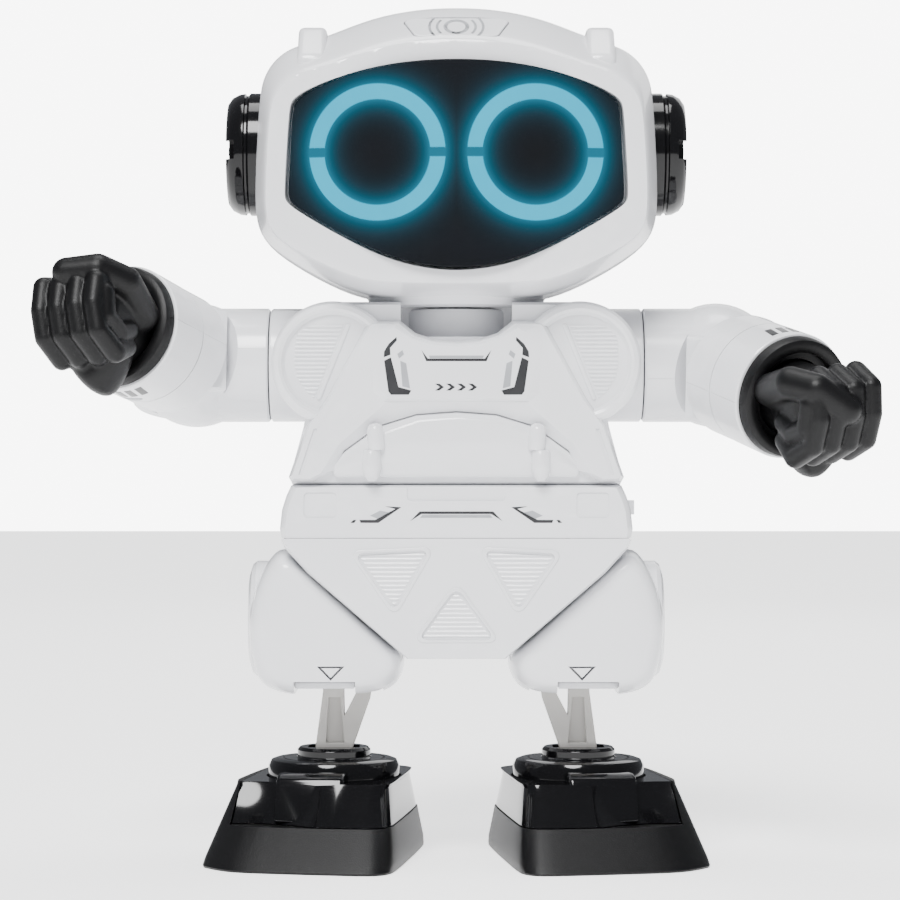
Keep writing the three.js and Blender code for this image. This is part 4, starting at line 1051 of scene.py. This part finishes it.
# %% Upper arm and forearm
CUP_HALF, CUP_CORE, CUP_OUTER = 10.1, 12.2, 15.2
CUP_OPEN = (157, 328)


def mould_line(shape, radius, axis="x"):
    """A hair groove round the arm in the plane of the mould's halves."""
    sheet = cut(block(-60, 60, -60, 60, -0.07, 0.07), rod(axis, radius - 0.12, -70, 70, steps=96))
    return cut(shape, sheet)


def upper_arm():
    tube = rod("x", ARM, SHOULDER_END, 0.5, steps=96, edge=0.4)
    swept = wedge_between(CUP_OPEN[1] - 366, CUP_OPEN[0] + 57, -11, 11)
    groove = cut(rod("z", 25, -CUP_HALF - 0.3, CUP_HALF + 0.3, steps=64),
                 rod("z", CUP_CORE, -30, 30, steps=96))
    arm = join(tube, ball(BALL))
    arm = cut(arm, common(groove, swept), rod("z", 4.9, -3.3, 3.3))
    axle = turned("x", [(0, -24.5), (7, -24.5), (7, -22.6), (3, -22.6), (3, -16), (0, -16)], 48)
    return gathered(mould_line(arm, ARM), axle)


def forearm():
    cup = cut(rod("z", CUP_OUTER, -CUP_HALF, CUP_HALF, steps=96, edge=0.5),
              rod("z", CUP_CORE + 0.3, -30, 30, steps=96))
    tongue = rod("z", CUP_CORE + 1, -3, 3, steps=64)
    wrap = cut(join(cup, tongue), wedge_between(*CUP_OPEN, -20, 20))
    tube = rod("y", FOREARM, -22, -11.5, steps=96)
    tube = cut(tube, rod("y", 12.6, -30, -18, steps=96), ball(15.45),
               rod("z", CUP_CORE + 0.3, -30, 30, steps=96))
    return wrap, mould_line(tube, FOREARM, "y")


for side_name, side in SIDES:
    place = arm_place(side_name, side)
    finish_piece("arm_upper_" + side_name, mirrored(upper_arm(), side), "upper_arm_" + side_name,
                 white_plastic, ["upper_arm_" + side_name], edge=0.3, place=place)
    wrap, tube = forearm()
    turn(tube, "z", BEND)
    sleeve = join(wrap, tube, rod("z", 4.6, -3, 3))
    sleeve = cut(sleeve, rod("z", 1.8, -20, 20, steps=32))
    finish_piece("arm_fore_" + side_name, mirrored(sleeve, side), "forearm_" + side_name,
                 white_plastic, ["forearm_" + side_name], edge=0.3, place=place)
    cuff = turned("y", [(12.6, -34.4), (14.7, -34.4), (15.0, -34.1), (15.0, -33.6), (14.85, -22.4),
                        (12.6, -22.4), (12.6, -34.4)], 96)
    cuff = turn(mould_line(cuff, 14.9, "y"), "z", BEND)
    finish_piece("arm_cuff_" + side_name, mirrored(cuff, side), "forearm_" + side_name,
                 white_plastic, ["forearm_cuff_" + side_name], edge=0.15, place=place)
    ring = turned("y", [(9.2, -35.4), (10.9, -35.4), (11.0, -37.4), (11.6, -37.9), (13.0, -38.0),
                        (13.9, -37.5), (14.3, -36.4), (14.4, -34.8), (12.3, -34.8), (12.3, -25),
                        (9.2, -25), (9.2, -35.4)], 96)
    ring = cut(ring, cut(block(-60, 60, -60, -34.9, -0.06, 0.06), rod("y", 14.2, -70, 70, steps=96)))
    finish_piece("wrist_band_" + side_name, mirrored(turn(ring, "z", BEND), side),
                 "hand_" + side_name, dull_black, ["wrist_ring_" + side_name], place=place)

# %% [markdown]
# Three printed dashes decorate each cuff: above on the lowered arm, below on the raised one. A
# print is a sliver of a tube that hugs the surface, cut out by the shape of the mark.

# %% Cuff prints
def cuff_print(outlines, side_name):
    top = 1 if side_name == "left" else -1
    film = cut(turned("y", [(0, -33.2), (15.06, -33.2), (14.95, -22.6), (0, -22.6)], 96),
               rod("y", 14.7, -50, 0, steps=96))
    stamps = [slab("z", outline, 0, 20) for outline in outlines]
    marks = common(film, gathered(*stamps))
    bmesh.ops.scale(marks, verts=marks.verts, vec=(1, 1, top))
    if top < 0:
        bmesh.ops.reverse_faces(marks, faces=marks.faces)
    return turn(marks, "z", BEND)


DASHES = [[(x - 0.6, -32.4), (x + 1.1, -32.4), (x + 1.9, -27.6), (x + 0.2, -27.6)]
          for x in (-3.6, -0.8, 2.0)]
PATCH = [[(2.4 + 2.6 * math.cos(step / 8 * math.pi), -25 + 1.1 * math.sin(step / 8 * math.pi))
          for step in range(16)]]
for side_name, side in SIDES:
    place = arm_place(side_name, side)
    finish_piece("cuff_print_" + side_name, mirrored(cuff_print(DASHES, side_name), side),
                 "forearm_" + side_name, black_ink, place=place)
finish_piece("cuff_patch_right", mirrored(cuff_print(PATCH, "right"), -1), "forearm_right", grey_ink,
             place=arm_place("right", -1))

# %% [markdown]
# ## The fists
# A closed hand in soft plastic is one casting in which fingers melt into each other. Joining many
# rods with Booleans would leave hard creases. Here balls and tapered links are laid where the
# bones would be, and a fine voxel remesh fuses them into one skin that is smoothed afterwards.

# %% Fused castings
def link(start, end, radius, radius_end):
    """A tapered rod with round ends between two points."""
    start, end = Vector(start), Vector(end)
    shape = bmesh.new()
    bmesh.ops.create_cone(shape, cap_ends=True, segments=28, radius1=radius, radius2=radius_end,
                          depth=(end - start).length)
    facing = (end - start).to_track_quat("Z", "Y").to_matrix()
    bmesh.ops.rotate(shape, verts=shape.verts, cent=(0, 0, 0), matrix=facing)
    bmesh.ops.translate(shape, verts=shape.verts, vec=(start + end) / 2)
    return gathered(shape, ball(radius, start), ball(radius_end, end))


def chain(points, radii):
    return gathered(*[link(*step) for step in zip(points, points[1:], radii, radii[1:])])


def fused(shape, voxel, rounds):
    thing = as_object(shape)
    skin = thing.modifiers.new("fuse", "REMESH")
    skin.mode = "VOXEL"
    skin.voxel_size = voxel
    calm = thing.modifiers.new("calm", "SMOOTH")
    calm.factor = 0.5
    calm.iterations = rounds
    return applied(thing)


# %% [markdown]
# The hand's own directions are: x from the little finger to the index finger's far side, y back
# along the forearm, z towards the back of the hand. The palm's middle is 48 mm from the elbow.

# %% Hand casting
FINGERS = ((6.9, 2.35, 0.3), (2.2, 2.45, 0.1), (-2.6, 2.45, 0.0), (-7.3, 2.45, -0.2))
THUMBS = {"right": [(-8.5, 8.5, 3.0), (-10.2, -2.0, 7.6), (-6.4, -7.6, 9.6), (0.6, -9.6, 9.4)],
          "left": [(-8.5, 8.5, 3.5), (-10.0, -2.2, 7.6), (-7.2, -8.4, 7.2), (-0.8, -11.6, 2.4)]}


PALM_REACH = 47.9
RAISED_DROP = 2.6  # the raised hand sits a little low on its wrist


def hand(side_name):
    parts = []
    drop = 2.2
    for x, r, lean in FINGERS:
        knuckles = [(x * 1.05, -2.5, 8.2 + lean), (x, -9.4, 6.4 + lean), (x - 0.4, -10.9, 0.6),
                    (x - drop * 0.5, -9.8, -5.6), (x - drop, -4.2, -9.4), (x - drop * 0.8, 1.4, -6.8)]
        parts.append(chain(knuckles, [r + 0.3, r + 0.1, r - 0.05, r, r + 0.15, r - 0.2]))
    parts.append(chain([(-8.9, -8.4, 3.6), (-9.2, -8.4, -1.8), (-9.0, -2.6, -4.4), (-9.0, 2.0, -2.6)],
                       [2.4, 2.5, 2.6, 2.3]))
    palm = relaxed(stacked("y", [(-9.6, -7.5), (8.6, -7.5), (9.6, 5.6), (7, 8.8), (-8.4, 8.8), (-10.6, 4)],
                           [(-6, 0.86, 0), (-4, 1, 0), (6, 0.98, 0), (12, 0.8, 0)]), 2)
    parts.append(palm)
    heel = relaxed(stacked("y", [(-8.4, -3), (-9.2, -7.4), (-4.0, -17.4), (0.0, -17.8), (7.4, -8.6), (7, -3)],
                           [(-3.4, 0.62, 0), (-1.8, 0.9, 0), (5, 1.0, 0), (10, 0.72, 0)], (0, -7)), 2)
    parts.append(heel)
    parts.append(rod("y", 8.8, 4, 27, steps=64))
    parts.append(chain(THUMBS[side_name], [4.0, 3.9, 3.75, 3.45]))
    cast = fused(gathered(*parts), 0.42, 3)
    tip = Vector(THUMBS[side_name][-1])
    before = Vector(THUMBS[side_name][-2])
    nail = turned("z", [(2.0, -0.25), (2.25, -0.25), (2.25, 0.25), (2.0, 0.25), (2.0, -0.25)], 40)
    bmesh.ops.scale(nail, verts=nail.verts, vec=(1.25, 0.9, 1))
    facing = (tip - before).to_track_quat("X", "Z").to_matrix()
    bmesh.ops.rotate(nail, verts=nail.verts, cent=(0, 0, 0), matrix=facing)
    lift = facing @ Vector((1.1, 0, 3.25))
    bmesh.ops.translate(nail, verts=nail.verts, vec=tip + lift)
    cast = cut(cast, nail)
    shift(cast, 0, -PALM_REACH, -RAISED_DROP if side_name == "right" else 0)
    return turn(cast, "z", BEND)


for side_name, side in SIDES:
    finish_piece("hand_" + side_name, mirrored(hand(side_name), side), "hand_" + side_name, dull_black,
                 ["fist_" + side_name], place=arm_place(side_name, side))

# %% [markdown]
# ## The shoes
# A shoe is a glossy upper set into a dull sole that also wraps round its outer side. Both are
# loops of the same outline at different heights, so the outline is bridged from the floor up.

# %% Shoe outlines at each height
LEG_X = abs(pivot("ankle_roll_left").x) / MM
TOE_OUT = 9
SOLE = [(-20.3, -31), (-19.0, -35.6), (-15.6, -38), (0, -37.7), (16.6, -36.6), (22.4, -32.6), (27.4, -27),
        (27.0, 0), (25.8, 19), (23.4, 26), (17.0, 31.6), (2, 32.4), (-12, 32), (-17, 28), (-18.6, 23),
        (-19.6, 0)]


def softened(outline, rounds):
    """Cuts every corner of a closed outline again and again until it is round."""
    for _ in range(rounds):
        pairs = zip(outline, outline[1:] + outline[:1])
        outline = [(a * share + c * (1 - share), b * share + d * (1 - share))
                   for (a, b), (c, d) in pairs for share in (0.78, 0.22)]
    return outline


SOLE = softened(SOLE, 2)


def shoe_ring(rise, swell=0.0):
    """The shoe's outline at a share of its full height: 0 is the floor, 1 is the top."""
    ring = []
    for x, y in SOLE:
        across = 1 - (0.25 if x > 0 else 0.17) * rise
        along = 1 - (0.42 if y < 0 else 0.2) * rise
        ring.append((x * across + math.copysign(swell, x), y * along + math.copysign(swell, y)))
    return ring


def foot_place(side):
    return (PLACE @ Matrix.Translation((side * LEG_X, 0, 0)) @
            Matrix.Rotation(math.radians(side * TOE_OUT), 4, "Z"))


SHOE_TOP = 19.4


def shoe_blank(swell=0.0):
    levels = [(0.0, shoe_ring(0.03)), (0.5, shoe_ring(0.015))]
    levels += [(SHOE_TOP * rise, shoe_ring(rise, swell)) for rise in (0.12, 0.5, 0.84, 0.95)]
    levels.append((SHOE_TOP, shoe_ring(1.05, -0.8)))
    return bridged("z", levels)


def split_tool(margin):
    """Everything on the sole's side of the line between sole and upper."""
    low = block(-60, 60, -60, 60, -5, 9.9 + margin)
    wall = slab("y", [(21.8 - margin, -1), (60, -1), (60, 30), (18.4 - margin, 30), (20.2 - margin, 9)],
                -60, 60)
    return join(low, wall)


for side_name, side in SIDES:
    place = foot_place(side)
    seat = rod("z", 16.4, 17.9, 60, steps=96)
    hub = rod("z", 7.8, 11, 60, steps=48)
    sole = cut(common(shoe_blank(0.25), split_tool(0.0)), copied(seat), copied(hub))
    step_line = cut(block(-60, 60, -60, 60, 2.5, 2.8), bridged("z", [(-1, shoe_ring(-0.02, -0.35)),
                                                                (5, shoe_ring(0.24, -0.35))]))
    sole = cut(sole, step_line)
    finish_piece("shoe_sole_" + side_name, mirrored(sole, side), "foot_" + side_name, dull_black,
                 ["shoe_sole_" + side_name], edge=0.35, place=place)
    upper = cut(shoe_blank(), split_tool(0.25))
    tongue_edge = [(-25.4, 10.5), (-13, 10.5), (-13, 21.6), (-19.6, 21.6), (-21.4, 20.8)]
    tongue = rounded(slab("x", tongue_edge, -6.4, 9.8), 0.9, 4)
    scoop = ball(30, (15.0, -45.5, 30.5))
    upper = cut(join(cut(upper, scoop), tongue), seat, hub)
    finish_piece("shoe_upper_" + side_name, mirrored(upper, side), "foot_" + side_name, glossy_black,
                 ["shoe_upper_" + side_name], edge=0.45, place=place)

# %% [markdown]
# Two black discs sit between leg and shoe, and the grey leg passes down into them. The leg is a
# ribbed lever: a flat web with raised edges and a slanting rib, as thin mouldings usually are.

# %% Ankle discs
for side_name, side in SIDES:
    discs = turned("z", [(0, 11.4), (7.5, 11.4), (7.5, 18.1), (15.2, 18.1), (15.9, 18.8), (15.9, 22.0),
                         (15.2, 23.3), (14.0, 23.7), (9.2, 23.8), (8.9, 24.1), (8.9, 25.7), (8.3, 26.4),
                         (0, 26.4)], 96)
    slot = block(-6.2, 6.2, -3.3, 3.3, 15.6, 40)
    ring_line = turned("z", [(12.0, 23.5), (12.4, 23.5), (12.4, 25), (12.0, 25), (12.0, 23.5)], 96)
    discs = cut(discs, slot, ring_line, rod("y", 1.8, -8, 8, (0, 0, 20), 32))
    shift(discs, side * LEG_X, 0, 0)
    finish_piece("ankle_discs_" + side_name, discs, "ankle_" + side_name, glossy_black,
                 ["ankle_turret_" + side_name], edge=0.25)

# %% Leg levers
WEB = [(-3.4, 20), (-2.4, 17.6), (0, 16.6), (2.4, 17.6), (3.4, 20), (4.6, 25), (2.6, 40), (3.2, 50),
       (1.5, 57), (-2.4, 65), (-6.9, 65.4), (-7.8, 61), (-7.4, 54), (-9.6, 43), (-8.8, 38), (-4.6, 26)]
for side_name, side in SIDES:
    web = slab("y", WEB, -3, 3)
    window = slab("y", [(-7.0, 42.5), (-2.4, 42.5), (-2.6, 34)], -9, 9)
    pockets = [slab("y", [(-2.6, 27.5), (1.9, 27.5), (1.2, 38.5), (-1.6, 38.5)], *span)
               for span in ((-9, -1.4), (1.4, 9))]
    pockets += [slab("y", [(-4.6, 48), (1.2, 48), (0.2, 55), (-5.4, 55)], *span)
                for span in ((-9, -1.6), (1.6, 9))]
    web = cut(rounded(web, 0.5, 3), window, *pockets)
    pins = [rod("y", 1.5, 2, 12, (-4.9, 0, 62.8), 32), rod("y", 1.5, -13.5, 13.5, (-2.0, 0, 54), 32),
            rod("y", 1.5, -7.5, 7.5, (0, 0, 20), 32)]
    web = gathered(web, *pins)
    shift(web, LEG_X, 0, 0)
    finish_piece("leg_" + side_name, mirrored(web, side), "leg_" + side_name, leg_grey,
                 ["leg_lever_" + side_name], edge=0.3)

# %% [markdown]
# ## The studio
# Product pictures of white toys use a pale floor and big soft lights, so that the white stays
# clean and the black parts show long soft highlights. The camera stands level with the waist.

# %% Floor, lights and camera
def soft_light(name, position, size, power, aim=(0, 0, 0.11)):
    lamp = bpy.data.lights.new(name, "AREA")
    lamp.shape = "RECTANGLE"
    lamp.size, lamp.size_y = size
    lamp.energy = power
    light = bpy.data.objects.new(name, lamp)
    light.location = position
    light.rotation_euler = (Vector(aim) - Vector(position)).to_track_quat("-Z", "Y").to_euler()
    bpy.context.scene.collection.objects.link(light)
    return light


soft_light("top", (0.0, 0.1, 1.1), (0.7, 0.4), 7.0)
soft_light("behind", (0.3, 1.0, 0.6), (0.8, 0.5), 2.0)

daylight = bpy.data.lights.new("overhead", "SUN")
daylight.energy = 5.2
daylight.angle = math.radians(25)
overhead = bpy.data.objects.new("overhead", daylight)
overhead.rotation_euler = (math.radians(42), 0, math.radians(-14))
bpy.context.scene.collection.objects.link(overhead)

world = bpy.data.worlds.new("studio")
bpy.context.scene.world = world
world.use_nodes = True
air = world.node_tree
seen = add(air, "LightPath").outputs["Is Camera Ray"]
room = add(air, "Background", {"Color": (0.9, 0.93, 1.0, 1), "Strength": 0.26})
backdrop = add(air, "Background", {"Color": (1, 1, 1, 1), "Strength": 8.0})
blend = add(air, "MixShader", {0: seen, 1: room.outputs[0], 2: backdrop.outputs[0]})
air.links.new(blend.outputs[0], air.nodes["World Output"].inputs["Surface"])

ground = bmesh.new()
bmesh.ops.create_grid(ground, x_segments=1, y_segments=1, size=3.0)
floor = as_object(ground, "floor")
paper = bpy.data.materials.new("pale_paper")
paper.use_nodes = True
paper_shader = paper.node_tree.nodes["Principled BSDF"]
paper_shader.inputs["Base Color"].default_value = grey(0.9)
paper_shader.inputs["Roughness"].default_value = 0.7
paper_shader.inputs["Emission Color"].default_value = (1, 1, 1, 1)
paper_shader.inputs["Emission Strength"].default_value = 1.3
floor.data.materials.append(paper)

CAMERA_DISTANCE, CAMERA_HEIGHT = 0.75, 0.0984
lens = bpy.data.cameras.new("camera")
lens.lens = 123.3
lens.sensor_width = 36.0
camera = bpy.data.objects.new("camera", lens)
camera.location = (-0.0015, NECK.y - CAMERA_DISTANCE, CAMERA_HEIGHT)
camera.rotation_euler = (math.radians(90), 0, 0)
bpy.context.scene.collection.objects.link(camera)
bpy.context.scene.camera = camera

# %% Finish
bpy.context.view_layer.update()
